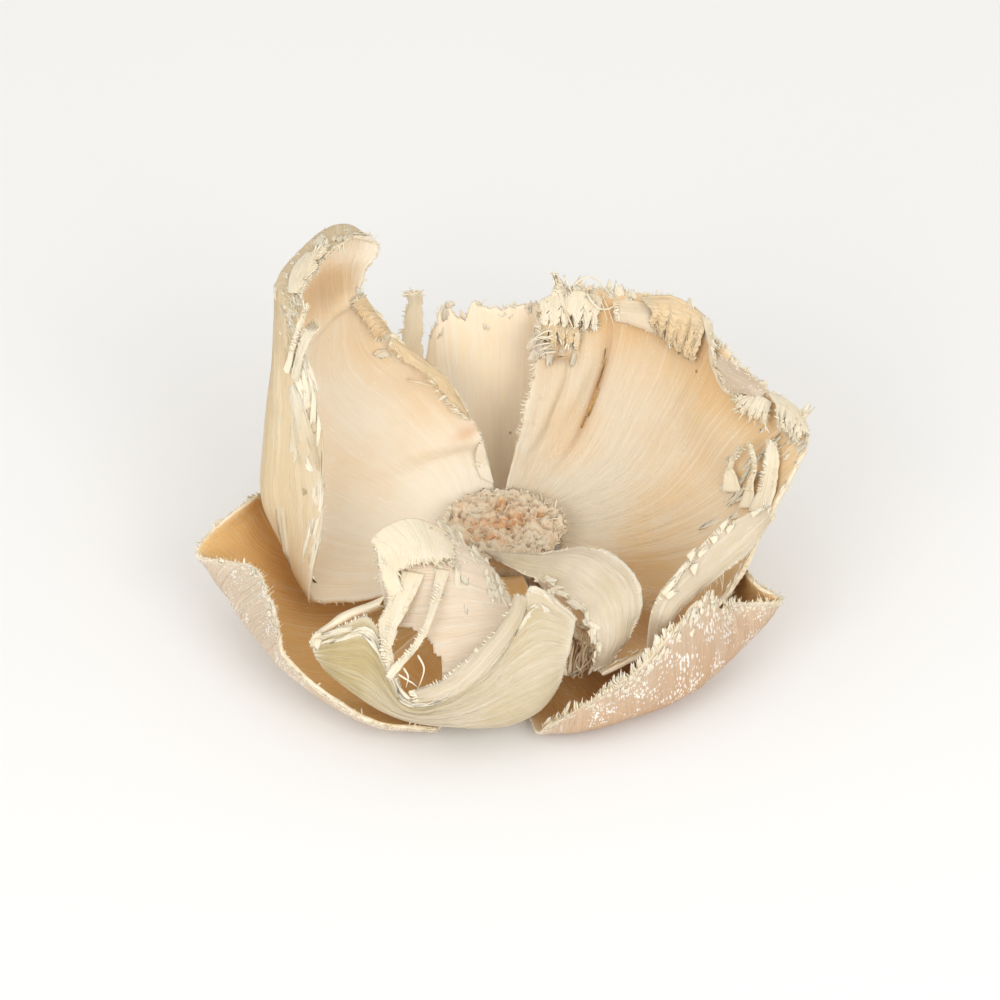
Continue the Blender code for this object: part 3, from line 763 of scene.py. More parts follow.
# Outer left tepal. A low cup under the tall inner one. Its front margin rolls in and shows the peach
# outer face with its pale flecks, and the whole rim is frayed.
# Darker, more orange inner face: partly the tissue's own tan and partly painted shade, for inner faces that lie in
# shade.
SHADED_INNER_SKIN = leather_material("inner face in painted shade", (0.90, 0.60, 0.26), (0.80, 0.44, 0.14), (0.88, 0.68, 0.42),
                             bump=0.6, specks=0.4)
low_left_net = [
    collar(158, 252, OUTER_RING_HEIGHT, 8),
    [(-16, 6, 4), (-18, 1, 2.8), (-19, -5, 2), (-18, -10, 1.4), (-15.5, -13.5, 1.1), (-12, -17, 1),
     (-8.5, -19, 1), (-5, -20, 1.1)],
    [(-26, 8, 6.5), (-30, 1.5, 4.5), (-32, -7, 3.1), (-30.5, -14, 2.4), (-26.5, -20, 1.8), (-21.5, -25, 1.3),
     (-15, -28.5, 1.1), (-8.5, -30, 1.1)],
    [(-32, 9.5, 10), (-38, 2, 9.5), (-43, -8, 8.5), (-40.5, -15.5, 6.5), (-35.5, -22.5, 5), (-28.5, -29.5, 3.6),
     (-19, -35, 2.4), (-9.5, -36, 1.9)],
    [(-35, 10, 12.5), (-41, 2.5, 14.5), (-47.5, -9, 13), (-44.5, -16.5, 12), (-40.5, -22.5, 9.5), (-34, -30.5, 7),
     (-22, -38.5, 4.4), (-10.5, -39.5, 3)],
    [(-36, 10, 14), (-42, 0.5, 18.2), (-50, -10, 16), (-40, -16, 17.5), (-36.5, -24.5, 15), (-34, -33, 11.5),
     (-22, -39.5, 5.6), (-10.5, -40.5, 4)],
]
low_left_net = [row[::-1] for row in low_left_net]
low_left_bites = (1.3, 0.8, 0.8, 11)
low_left = leather_sheet("low_left_tepal_skin", low_left_net, 0.5, low_left_bites, wave=0.35, ridges=0.1,
                         wall=TEPAL_WALL, warm=((0.5, 0.45, 0.6, 0.35, 0.5),))
# Its inner face takes the darker finish with painted shade.
dressed(low_left, SHADED_INNER_SKIN, PEACH_SKIN, "outer_tepals", "tepal_outer_left")
fringe("low_left_tepal_fringe", low_left_net, (("rim", 0, 1.0, 1.0),), low_left_bites, length=1.0,
       slot="outer_tepals")
peels("low_left_tepal_peels", low_left_net, (0.0, 1.0, 0.95, 0.995), 240, 502, (0.5, 1.5), (0.3, 1.0), 0.2, -1,
      slot="outer_tepals", bites=low_left_bites)


# Outer right tepal. A low cup like the left one, with a hooked tip and a deep white fringe of torn
# fibres along its rolled front margin.
low_right_net = [
    collar(6, -86, OUTER_RING_HEIGHT, 8),
    [(17.5, 1, 3), (18, -4, 2), (17.5, -8, 1.6), (15.5, -11.5, 1.2), (13, -14, 1.1), (9.5, -17, 1), (6, -18.5, 1),
     (2, -19, 1)],
    [(28, 1, 6), (30, -8, 4.6), (29, -14, 3.4), (26, -19, 2.2), (21.5, -23.5, 1.6), (15.5, -27.5, 1.1),
     (9.5, -30, 1), (3, -31, 1)],
    [(33, 0, 8.5), (36, -11, 8), (37, -18.5, 7), (33.5, -23.5, 5.4), (27.5, -29, 3.8), (19.5, -33.5, 2.6),
     (12, -36, 2), (4, -36.5, 1.7)],
    [(35, -1, 10), (39, -14, 12), (42, -20.5, 11), (38, -24.5, 8.5), (31.5, -30.5, 6.2), (22.5, -36, 4.8),
     (13.5, -39, 3.4), (5, -39.5, 2.6)],
    [(35.5, -1, 11), (40, -17, 15.5), (44.5, -20, 14), (37, -22.8, 16), (32, -25.4, 20), (22, -35, 13.5),
     (14, -38, 8.6), (6, -40, 3.8)],
]
low_right_bites = (1.3, 0.8, 0.8, 13)
low_right_tears = (("rim", 0.5, 0.025, 1.6),)
# Its deep patch is painted shade inside the cup.
low_right = leather_sheet("low_right_tepal_skin", low_right_net, 0.5, low_right_bites, low_right_tears, wave=0.35,
                          ridges=0.1, wall=TEPAL_WALL, warm=((0.5, 0.45, 0.6, 0.35, 0.7),),
                          deep=((0.7, 0.5, 0.5, 0.5, 0.6),))
# Its inner face takes the darker finish with painted shade.
dressed(low_right, SHADED_INNER_SKIN, PEACH_SKIN, "outer_tepals", "tepal_outer_right")
fringe("low_right_tepal_fringe", low_right_net, (("rim", 0, 0.62, 0.9), ("rim", 0.62, 1.0, 2.0)),
       low_right_bites, low_right_tears, length=1.1, every=0.2, slot="outer_tepals")
peels("low_right_tepal_peels", low_right_net, (0.0, 1.0, 0.95, 0.995), 240, 503, (0.5, 1.6), (0.3, 1.0), 0.2,
      -1, slot="outer_tepals", bites=low_right_bites)
peels("low_right_tepal_tongues", low_right_net, (0.64, 1.0, 0.97, 0.99), 60, 504, (1.8, 3.4), (0.4, 1.0), 0.35,
      1, slot="outer_tepals", bites=low_right_bites)


# Inner left tepal. The tallest one. Its front margin rolls inwards, and its tip folds over to a hood
# with a frayed rim. Inside it is smooth and cream, outside straw coloured and fibrous.
INNER_RING_HEIGHT = 9.6
TALL_SKIN = leather_material("tall inner face", (0.91, 0.82, 0.67), (0.86, 0.66, 0.42), (0.95, 0.89, 0.78),
                             specks=0.6, bump=0.5, contrast=0.8)
STRAW_SKIN = leather_material("straw outer face", (0.68, 0.55, 0.36), (0.66, 0.49, 0.28), (0.85, 0.76, 0.59))
tall_net = [
    collar(98, 234, INNER_RING_HEIGHT, 6),
    [(-3, 14, 18), (-8, 13, 16), (-14, 8, 12), (-17, 0, 9.5), (-16, -6, 8.6), (-13, -10, 8.4)],
    [(-5, 15, 24), (-12, 15, 20), (-20, 11, 14.5), (-25, 2, 10), (-25, -7, 8), (-22, -12, 7.5)],
    [(-10, 19, 30.5), (-18, 18, 25), (-27, 12, 19), (-33, 3, 13.5), (-34, -7, 10.5), (-31, -14, 8)],
    [(-18, 20.5, 37.5), (-25, 20, 32), (-32.5, 14, 26), (-37.5, 4, 21), (-38.2, -6, 21), (-28.5, -6, 24.5)],
    [(-22, 23.5, 41.5), (-26, 22, 40), (-31.5, 17.5, 37), (-37.2, 8, 33.5), (-37.8, 0, 33), (-30, 1.5, 37.5)],
    [(-23.3, 23, 44.5), (-26.5, 21, 43.5), (-30, 18, 42), (-34.8, 13, 41.5), (-37, 7.5, 42), (-32.6, 7.5, 44.8)],
    [(-21.8, 27, 46), (-26.8, 28.5, 46), (-31, 25.5, 46.5), (-35, 19.5, 46), (-36.9, 12.5, 46),
     (-33.3, 8.5, 46.8)],
    [(-20.1, 29, 47.8), (-25.5, 29.5, 52), (-29.7, 26.5, 53.2), (-34, 22, 51.5), (-36.4, 17, 50),
     (-34.3, 10.5, 48.2)],
    [(-22, 30, 50.5), (-25.3, 25, 53.2), (-28.6, 20, 53.3), (-30.9, 16, 52.4), (-32.7, 12, 50.8),
     (-33.3, 9.5, 48.4)],
]
tall_net = [row[::-1] for row in tall_net]
tall_bites = (1.2, 1.2, 1.2, 3)
tall_tears = (("left", 0.30, 0.05, 2.0), ("right", 0.66, 0.015, 1.2))
# Its deep patch is painted shade.
tall = leather_sheet("tall_tepal_skin", tall_net, 0.5, tall_bites, tall_tears, wave=0.45, ridges=0.1,
                     wall=TEPAL_WALL,
                     warm=((0.5, 0.7, 0.5, 0.05, 0.6), (0.7, 0.72, 0.25, 0.08, 0.8), (0.88, 0.4, 0.12, 0.2, 0.6),
                           (0.1, 0.3, 0.15, 0.1, 0.4)),
                     deep=((0.62, 0.73, 0.2, 0.05, 0.3),),
                     stains=((0.99, 0.2, 0.04, 0.02, 0.2), (0.93, 0.19, 0.06, 0.02, 0.4)),
                     creases=((1.0, 0.13, 0.5, 0.30, 2.2, 1.3), (0.97, 0.3, 0.72, 0.36, 2.5, -0.9),
                              (0.55, 0.28, 0.1, 0.44, 3.0, 0.9), (0.6, 0.45, 0.75, 0.62, 3.0, -0.7)))
dressed(tall, TALL_SKIN, STRAW_SKIN, "inner_tepals", "tepal_inner_left")
fringe("tall_tepal_fringe", tall_net,
       (("rim", 0, 1.0, 1.2), ("left", 0.25, 1.0, 0.9), ("right", 0.12, 0.6, 0.6), ("right", 0.6, 1.0, 0.6)),
       tall_bites, tall_tears, length=1.0)
peels("tall_tepal_outer_peels", tall_net, (0.03, 0.24, 0.42, 0.85), 16, 505, (8.0, 16.0), (1.0, 2.2), 0.08, -1,
      finish=STRAW_SKIN)
peels("tall_tepal_edge_peels", tall_net, (0.0, 0.05, 0.3, 0.9), 22, 506, (3.0, 9.0), (0.5, 1.4), 0.15, -1)
peels("tall_tepal_hood_peels", tall_net, (0.0, 1.0, 0.94, 0.99), 44, 507, (1.0, 3.0), (0.8, 2.4), 0.3, -1)
peels("tall_tepal_hood_layers", tall_net, (0.05, 0.62, 0.78, 0.97), 40, 519, (2.0, 6.0), (0.8, 2.4), 0.3, -1)
peels("tall_tepal_margin_peels", tall_net, (0.9, 1.0, 0.42, 0.66), 26, 508, (1.5, 4.0), (0.8, 2.2), 0.6, 1)


# Flaps of the inner left tepal: the rolled back margin, the layers that split from the hood, and long
# strips that tore off along the front margin.
BROWN_SKIN = leather_material("brown torn face", (0.88, 0.68, 0.42), (0.82, 0.56, 0.30), (0.90, 0.78, 0.59),
                              bump=1.6)


def single_fibres(name, lines, size, slot="inner_tepals", finish=PALE_FIBRE):
    """Lone long fibres, each bent through its own points in mm."""
    paths = []
    for line in lines:
        net = [[point, point] for point in line]
        steps = np.linspace(0, 1, 14)
        paths.append((on_net(net, np.zeros(14), steps), 1.0))
    finish_piece(fibres(name, paths, size, 0, finish), slot)


def torn_flap(name, net, bites, finish, slot="inner_tepals", cell=0.3, tears=(), wave=0.5, turned=False,
              start=0.3, frayed=0.7, every=0.22):
    """A small torn piece in one finish: a thin sheet, frayed along its rim and, half as long, at its sides."""
    flap = leather_sheet(name, net, cell, bites, tears, wave=wave, edge=0.15, turned=turned)
    dressed(flap, finish, finish, slot)
    margins = (("rim", 0, 1, 1.0), ("left", start, 1, 0.5), ("right", start, 1, 0.5))
    fringe(name + "_fringe", net, margins, bites, tears, frayed, every, slot=slot)


# name, (bites and seed), finish, fibres from side to side, net
TALL_FLAPS = (
    ("margin_roll", (1.6, 0.4, 0.4, 51), BROWN_SKIN, True, [
        [(-18.7, 20.1, 37.1), (-13.8, 19.3, 33.2), (-10.2, 18.5, 30.1), (-7.7, 16.6, 26.9),
         (-5.6, 14.7, 23.8)],
        [(-19.2, 18.8, 37.1), (-14.8, 17.9, 33.5), (-11.3, 17.1, 30), (-8.7, 15.5, 27), (-6.2, 14.3, 24.3)],
        [(-19.7, 18.9, 35.2), (-16.6, 17.7, 32.8), (-13, 17.1, 30), (-9.9, 16.1, 27.5), (-7.2, 14.7, 24.4)],
    ]),
    ("upper_flap", (2.0, 1.0, 1.0, 52), BROWN_SKIN, False, [
        [(-23.2, 22.4, 44.2), (-21.5, 22.4, 40.4), (-19.8, 21, 38.8), (-18.5, 20.2, 37.5)],
        [(-24.3, 20.7, 44.8), (-23.1, 21.2, 41.6), (-21.1, 19.7, 39.5), (-19.5, 19.1, 37.5)],
        [(-25.5, 20, 43.7), (-24.6, 20.7, 40.6), (-22.5, 19.5, 37.6), (-20.5, 19.6, 34.3)],
    ]),
    ("hood_layer", (2.2, 1.0, 1.0, 53), CREAM_SKIN, True, [
        [(-33.8, 19.5, 52.5), (-34.7, 16.6, 51.8), (-35.1, 13.7, 50.7)],
        [(-30.4, 21.3, 54.4), (-32.5, 16.3, 53.2), (-33.6, 11.6, 51.4)],
        [(-26.6, 21.7, 54.8), (-29.6, 16.9, 54), (-31.8, 11.4, 52.3)],
    ]),
    ("strip_one", (1.5, 0.3, 0.3, 54), CREAM_SKIN, False, [
        [(-35.9, 4.9, 41.1), (-34.9, 4.3, 41.1)],
        [(-35, 6.3, 44.5), (-34, 5.7, 44.5)],
        [(-33.5, 8.8, 48.7), (-32.4, 8.2, 48.3)],
        [(-32.1, 11.4, 51.5), (-31, 10.9, 51.2)],
    ]),
    ("strip_two", (1.5, 0.4, 0.4, 55), CREAM_SKIN, False, [
        [(-34.6, 4, 40.6), (-33.3, 3.4, 40.2)],
        [(-33.7, 5.7, 44.6), (-32.3, 5.3, 44.1)],
        [(-32.4, 7.5, 47.7), (-30.8, 7.1, 46.7)],
        [(-31.4, 14.5, 44.1), (-29.7, 7.7, 48.1)],
    ]),
    ("base_flake", (0.8, 0.3, 0.3, 58), TALL_SKIN, False, [
        [(-4.1, 11.4, 14.4), (-1.8, 11.1, 13.4)],
        [(-5.1, 12.6, 17.2), (-2.5, 12.6, 16.9)],
        [(-4.4, 13.4, 20.8), (-3.6, 13.6, 20.5)],
    ]),
)
for name, bites, finish, turned, net in TALL_FLAPS:
    torn_flap("tall_tepal_" + name, net, bites, finish, turned=turned)
single_fibres("tall_tepal_splinter", [
    [(-16.1, 18.6, 29.3), (-14.3, 17.2, 29.9), (-12.3, 17, 29.3), (-10.5, 17.6, 28.2)],
], 0.14)


# Inner right tepal. The broadest one: a fan-shaped cup of the same leather, seated beside the scar. A
# long split by its left margin shows the deeper tissue, darkened with painted shade, and half torn flakes
# stand along its torn rim.
INNER_SKIN = leather_material("inner face", (0.765, 0.67, 0.52), (0.79, 0.545, 0.28), (0.89, 0.80, 0.66),
                              specks=1.0, bump=0.5, contrast=0.8)
broad_net = [
    collar(94, -62, INNER_RING_HEIGHT, 8),
    [(1, 12, 17), (7, 12, 15), (12.5, 9, 13), (16, 4, 11.5), (17, -2, 10.3), (17, -7.5, 9.3), (14, -12.5, 8.8),
     (8.5, -15, 8.4)],
    [(2.5, 15, 23), (11, 16, 20), (19, 12.5, 17), (24, 6, 14.5), (26, -1, 12), (26, -9, 9.3), (22, -17, 8),
     (11.5, -21.5, 7.4)],
    [(4, 18.5, 28), (14, 21, 26), (24, 18, 23.5), (30, 10, 20), (35, 0, 17), (33.5, -10, 11.5), (28, -20, 8.5),
     (13.5, -27, 7)],
    [(4.5, 24, 33), (16, 25, 33.5), (28, 22, 31), (35, 12, 28), (42, 1, 25), (38.5, -10, 16), (31, -21.5, 10),
     (14.5, -30, 7.4)],
    [(8, 31, 40), (17, 29, 41), (30, 24.5, 40.5), (39.5, 12, 36.5), (49.5, 1, 33), (43, -9, 22), (33.5, -22, 13),
     (15.5, -33, 8.5)],
]
broad_bites = (1.6, 1.4, 0.6, 8)
BROAD_SPLIT = [
    (0.147, 0.79), (0.149, 0.73), (0.153, 0.665), (0.154, 0.58), (0.156, 0.475), (0.154, 0.39), (0.166, 0.475),
    (0.167, 0.58), (0.164, 0.665), (0.157, 0.73), (0.151, 0.79),
]
# Its warm patches are partly warmer tone and partly painted warm shade; its deep patches are painted shade,
# strongest on the front lobe under the curled strip and along the split.
broad = leather_sheet("broad_tepal_skin", broad_net, 0.5, broad_bites, wave=0.5, ridges=0.1, wall=TEPAL_WALL,
                      warm=((0.62, 0.6, 0.3, 0.35, 0.3), (0.7, 0.3, 0.2, 0.12, 0.6), (0.88, 0.6, 0.16, 0.5, 1.0),
                            (0.3, 0.95, 0.4, 0.28, 0.8)),
                      deep=((0.86, 0.5, 0.08, 0.25, 0.7), (0.7, 0.24, 0.12, 0.16, 0.35),
                            (0.97, 0.6, 0.06, 0.5, 0.3), (0.26, 0.94, 0.14, 0.12, 0.3),
                            (0.158, 0.58, 0.012, 0.24, 0.8)),
                      creases=((0.03, 0.25, 0.06, 0.72, 1.6, 1.2), (0.02, 0.74, 0.10, 0.70, 1.4, -1.5),
                               (0.10, 0.45, 0.12, 0.85, 2.2, 1.2), (0.2, 0.3, 0.3, 0.5, 3.0, -0.6),
                               (0.33, 0.75, 0.55, 0.72, 3.5, 0.7)),
                      gaps=(BROAD_SPLIT,))
dressed(broad, INNER_SKIN, STRAW_SKIN, "inner_tepals", "tepal_inner_right")
fringe("broad_tepal_fringe", broad_net, (("rim", 0, 0.85, 1.0), ("left", 0.3, 1.0, 0.8)), broad_bites,
       length=1.2)
peels("broad_tepal_rim_peels", broad_net, (0.02, 0.85, 0.94, 0.99), 130, 509, (1.0, 2.8), (0.8, 2.4), 0.45,
      bites=broad_bites)
# The layers in the split take the darker finish with painted shade.
peels("broad_tepal_split_layers", broad_net, (0.15, 0.165, 0.36, 0.7), 16, 520, (6.0, 12.0), (1.6, 2.4), 0.2,
      -1, finish=SHADED_INNER_SKIN)
peels("broad_tepal_left_peels", broad_net, (0.0, 0.12, 0.72, 0.92), 70, 510, (2.0, 4.5), (1.0, 3.0), 0.8,
      finish=PEACH_PLAIN)
peels("broad_tepal_corner_peels", broad_net, (0.5, 0.62, 0.6, 0.95), 34, 511, (3.0, 7.0), (0.8, 2.0), 0.7)
peels("broad_tepal_front_peels", broad_net, (0.94, 1.0, 0.3, 0.9), 26, 512, (2.0, 6.0), (0.5, 1.4), 0.5)


# Torn pieces of the inner right tepal: the rolled and split layers along its rim, the veil of fibres at
# its left, the fingers by its right corner, and the two long strips from its front margin, one curled
# back over the front and one standing as a blade along the right.
STRAP_SKIN = leather_material("strap outer face", (0.72, 0.615, 0.47), (0.54, 0.43, 0.22), (0.86, 0.79, 0.66))
WARM_FIBRE = straw_material("warm torn fibre", (0.96, 0.86, 0.68), (0.90, 0.74, 0.52))


def line_at(points, x):
    """The point at x, from 0 to 1, on straight stretches between points."""
    place = min(max(x, 0), 1) * (len(points) - 1)
    k = min(int(place), len(points) - 2)
    a, b = Vector(points[k]), Vector(points[k + 1])
    return a + (b - a) * (place - k)


def shreds(name, roots, tips, count, seed, sag=0.6, stray=0.5, width=0.05, flat=0.12, finish=PALE_FIBRE,
           slot="inner_tepals"):
    """Torn fibres from one line of points to another, in mm."""
    local = random.Random(seed)
    paths = []
    for k in range(count):
        x = (k + local.random()) / count
        root, tip = line_at(roots, x), line_at(tips, x + local.gauss(0, 0.04))
        reach = (tip - root).length * local.uniform(0.7, 1.1)
        tip = root + (tip - root).normalized() * reach + Vector([local.gauss(0, stray) for _ in range(3)])
        bow = Vector([local.gauss(0, 0.15) * reach for _ in range(3)])
        bow += Vector((0, 0, sag * local.uniform(0.3, 1.2)))
        path = [root.lerp(tip, f) + bow * 4 * f * (1 - f) for f in (0, 0.17, 0.33, 0.5, 0.67, 0.83, 1)]
        paths.append((path, local.uniform(0.6, 1.4)))
    finish_piece(fibres(name, paths, width, flat, finish), slot)


curl_net = [
    [(-4, -11.5, 17), (-3, -12, 17.3), (-2, -13, 17)],
    [(6, -14.5, 19.5), (4.5, -16.5, 19.6), (2.5, -19, 18.5)],
    [(15.5, -18.5, 23.5), (11.5, -21, 22.6), (6.5, -24, 19.5)],
    [(21.5, -25, 22), (17.5, -27, 21), (12, -29, 18)],
    [(21.3, -28, 16), (18.2, -30, 14.8), (14, -31.5, 13)],
    [(17, -30.2, 8.8), (15.4, -30.5, 8.2), (13.5, -30.5, 7.4)],
]
blade_net = [
    [(22.6, -27, 8), (24.5, -26.7, 8.8), (26.4, -25.5, 9.4)],
    [(23.8, -26.8, 19.3), (25.8, -27.6, 17.8), (27.4, -27, 16)],
    [(29.8, -20.4, 23.9), (31.5, -22.2, 21), (32.6, -22.4, 18.6)],
    [(35.2, -15.8, 26.4), (37, -17.9, 23.6), (38.4, -18.2, 21.4)],
    [(42.4, -12.2, 27.8), (43.3, -12.9, 27), (43.9, -13.2, 26.1)],
]
RIM_TEARS = (("rim", 0.14, 0.04, 2.4), ("rim", 0.33, 0.03, 3.6), ("rim", 0.52, 0.05, 2.0), ("rim", 0.7, 0.03, 4.0),
             ("rim", 0.88, 0.03, 2.6))
# name, (bites and seed), finish, fibres from side to side, length of the fringe, net
BROAD_FLAPS = (
    ("curled_strip", (1.0, 0.4, 0.7, 41), STRAP_SKIN, False, 0.2, curl_net),
    ("long_blade", (0.8, 0.5, 0.5, 42), STRAP_SKIN, False, 0.3, blade_net),
    ("rim_fold", (1.4, 0.9, 0.9, 61), INNER_SKIN, True, 0.3, [
        [(17.7, 27.6, 39.2), (20.3, 27.1, 39.4), (22.8, 26.6, 39.3), (25.6, 25.8, 39.1)],
        [(17.7, 25.4, 38.4), (20.6, 24.7, 38.3), (23.6, 24.1, 37.9), (26.2, 23.5, 37.1)],
        [(18.2, 24.5, 36.4), (21, 23.8, 35.7), (23.9, 23.1, 35), (26.9, 22.3, 33.7)],
    ]),
    ("rim_brown", (2.2, 1.4, 1.4, 62), BROWN_SKIN, True, 0.5, [
        [(22.4, 26.6, 40.3), (26.9, 25.9, 41.1), (30.3, 24.2, 40.7), (33, 21.6, 40.1)],
        [(23.1, 24.4, 39.7), (26.8, 23, 39.5), (30.1, 21.1, 38.7), (32.8, 19.1, 38.3)],
        [(23.4, 23.8, 37.7), (26.2, 22, 35.8), (29.1, 20.1, 34.3), (32.1, 18.4, 34.4)],
        [(23.9, 23.5, 36.1), (26.6, 21.9, 34.4), (29.5, 19.9, 33), (31.8, 18.3, 32.7)],
    ]),
    ("rim_outer", (1.4, 1.0, 1.0, 63), PEACH_SKIN, True, 0.6, [
        [(34.6, 17.1, 36.1), (37.6, 13.5, 36.3), (40.1, 10.7, 36), (43, 7.9, 35)],
        [(34.4, 15, 35.2), (37.1, 11.2, 35.2), (39.6, 8.4, 35.3), (42.1, 6.3, 34.6)],
        [(34.6, 14, 33.1), (36.5, 10.7, 32.5), (39.1, 8.1, 33.4), (42.3, 6, 33)],
    ]),
    ("seam", (1.2, 0.7, 0.7, 64), CREAM_SKIN, True, 1.0, [
        [(32.3, 21.2, 40.4), (33.5, 18.3, 37.6), (33.8, 16.4, 34.6), (35.5, 12.5, 32.2), (37.4, 10.3, 32)],
        [(33.3, 19.7, 41.1), (34, 16.7, 38.5), (34.4, 14.8, 35.8), (36.3, 10.9, 33.4), (38.2, 8.8, 32.9)],
        [(33.9, 19.1, 40.4), (34.5, 16.4, 37.9), (35.2, 14.5, 35.6), (36.9, 11, 33.3), (38.7, 9, 32.6)],
    ]),
    ("corner_lump", (1.8, 1.2, 1.2, 65), CREAM_SKIN, True, 1.0, [
        [(42.8, 7.6, 35.1), (45.3, 5.6, 35.1), (47.7, 3.3, 34.3), (49.2, 0.6, 33)],
        [(43, 4.9, 35.1), (45.2, 2.4, 35.3), (47.2, 0.3, 34.3), (48.6, -1.6, 33.1)],
        [(43.6, 3, 33.7), (45.2, 0.5, 33.5), (46.7, -1, 32.6), (47.7, -1.6, 31.8)],
        [(44, 2.8, 31.3), (45.4, 1.1, 31), (46.5, -0.1, 30.9), (47.1, -0.6, 30.7)],
    ]),
    ("left_flap", (2.0, 1.2, 1.0, 66), BROWN_SKIN, False, 1.0, [
        [(5.1, 27.1, 37), (8.5, 26.5, 36.6), (12.4, 26.3, 36.3)],
        [(4.8, 24.1, 36.3), (8.4, 23.3, 35.6), (12.7, 23.5, 34.6)],
        [(5.1, 22.2, 34.8), (8.8, 21.5, 33.7), (12.4, 22.6, 32)],
    ]),
    ("top_tuft", (1.0, 0.7, 0.7, 67), CREAM_SKIN, False, 1.2, [
        [(6.6, 27.7, 37.7), (11.8, 27.8, 38.5)],
        [(7.3, 29.3, 39.8), (10.8, 29.2, 39.9)],
        [(7.6, 30.8, 41.2), (9.8, 30.3, 41.1)],
        [(7.6, 31.5, 42.1), (8.5, 31.1, 42.2)],
    ]),
    ("fan", (1.6, 0.8, 0.8, 73), CREAM_SKIN, False, 2.0, [
        [(39.1, 9.3, 34), (41.2, 7.5, 34.5), (43.4, 5.7, 34.5)],
        [(37.7, 8.7, 33.4), (39.9, 6, 33.2), (42.9, 3.4, 33.3)],
        [(36.6, 9.5, 32), (38.6, 6.1, 30.9), (42.6, 2.5, 30.8)],
    ]),
    ("veil", (2.0, 1.0, 1.0, 74), CREAM_SKIN, False, 1.6, [
        [(5.8, 28.6, 38.3), (9.4, 29.4, 39.4), (13.1, 28.8, 39.8), (16.2, 27.9, 39.4)],
        [(5.3, 25.7, 37.1), (9.1, 25.9, 37.8), (12.7, 25.5, 37.7), (15.7, 25.2, 37.1)],
        [(5, 24, 35.5), (8.8, 23.3, 35.3), (12.1, 23.4, 35.2), (15, 23.7, 34.1)],
    ]),
    ("finger_one", (0.6, 0.4, 0.4, 68), CREAM_SKIN, False, 0.4, [
        [(35.5, 1, 19.6), (38.5, -1.1, 21.2)],
        [(35.8, 2.6, 22.9), (38.1, 0.7, 23.6)],
        [(36.6, 3, 25.2), (37.8, 1.8, 25.2)],
        [(37.9, 2.2, 27.5), (38.6, 1.6, 27.7)],
        [(38.7, 1.4, 28.5), (38.8, 1.2, 28.5)],
    ]),
    ("finger_two", (0.6, 0.4, 0.4, 69), CREAM_SKIN, False, 0.4, [
        [(38, -3.1, 19.5), (40.1, -4.9, 20.9)],
        [(39.1, -1.7, 23.1), (40.5, -3, 23.7)],
        [(40, -0.7, 26.2), (40.9, -1.3, 26.5)],
        [(39.5, 0.6, 28.1), (40.6, -0.1, 28.5)],
        [(39.2, 1.4, 29.4), (39.5, 1.1, 29.6)],
    ]),
    ("finger_three", (1.0, 0.5, 0.5, 70), CREAM_SKIN, False, 0.6, [
        [(39.5, -5, 20.1), (42.9, -7.4, 22.9)],
        [(40.9, -3.2, 23.9), (44.2, -5.1, 25.6)],
        [(41.7, -0.7, 26.9), (44.9, -2.3, 27.9)],
        [(42.1, 1.1, 28.8), (44.6, -0.1, 29.2)],
        [(42.7, 1.7, 29.8), (44, 1.2, 29.9)],
    ]),
)
for name, bites, finish, turned, frayed, net in BROAD_FLAPS:
    tears = RIM_TEARS if frayed >= 1.0 or name == "rim_brown" else ()
    cell = 0.25 if tears else 0.3
    torn_flap("broad_tepal_" + name, net, bites, finish, cell=cell, tears=tears, wave=0.6, turned=turned,
              start=0.2, frayed=frayed)
shreds("broad_tepal_veil",
       [(4.3, 26.7, 37), (6.6, 28.6, 38.7), (10.1, 29.7, 40), (14.1, 28.9, 40.1), (16.7, 28.2, 40.2)],
       [(8.4, 21.8, 33.8), (10.1, 22.6, 34.5), (12.4, 23.4, 35.2), (15.7, 24.2, 36.2), (17.7, 25, 37.2)],
       10, 82, sag=0.5, stray=1.2, flat=0.16, finish=WARM_FIBRE)
shreds("broad_tepal_left_fringe",
       [(7.9, 23.7, 36.1), (8.4, 22.3, 34.7), (8.4, 21.2, 33.1)],
       [(4.6, 22.1, 35.3), (4.1, 21, 34.1), (5.5, 19.4, 32.3)], 10, 83, sag=0.4, stray=0.6, flat=0.16)
shreds("broad_tepal_links",
       [(22.1, -15.6, 10.7), (22.2, -18.8, 10.4)],
       [(25.2, -13.8, 11.4), (25.4, -17.5, 11)], 12, 84, sag=0.4, flat=0)
shreds("broad_tepal_curls",
       [(30.7, -11.4, 15.2), (32.2, -12.4, 15.6), (33.9, -12, 16.6)],
       [(31.2, -17.1, 14), (32.7, -18.3, 14.6), (34.7, -17.6, 16.1)], 60, 85, sag=0.9, stray=0.9)
peels("broad_tepal_blade_peels", blade_net, (0.0, 0.3, 0.25, 0.9), 12, 516, (1.5, 4.5), (0.4, 1.1), 0.7, 1)
peels("broad_tepal_blade_back_peels", blade_net, (0.7, 1.0, 0.25, 0.9), 12, 517, (1.5, 4.5), (0.4, 1.1), 0.7,
      -1)
peels("broad_tepal_curl_peels", curl_net, (0.85, 1.0, 0.3, 0.95), 20, 518, (1.5, 4.0), (0.4, 1.0), 0.4, 1)
single_fibres("broad_tepal_arches", [
    [(11.1, 29.5, 40.1), (12.4, 29.8, 41.5), (14.2, 29.6, 42.3), (16, 28.4, 41.7), (17.7, 26.9, 40)],
    [(13.4, 28.5, 40), (14.4, 26.5, 39.4), (15.7, 25.4, 38.8), (17.5, 25.3, 39.1), (18.7, 26.6, 39.8)],
    [(9.8, 30.9, 41.6), (10.4, 29.7, 40.9), (11.1, 28.5, 39.8), (12.4, 27, 38.9), (14, 26.2, 38.4)],
], 0.22)
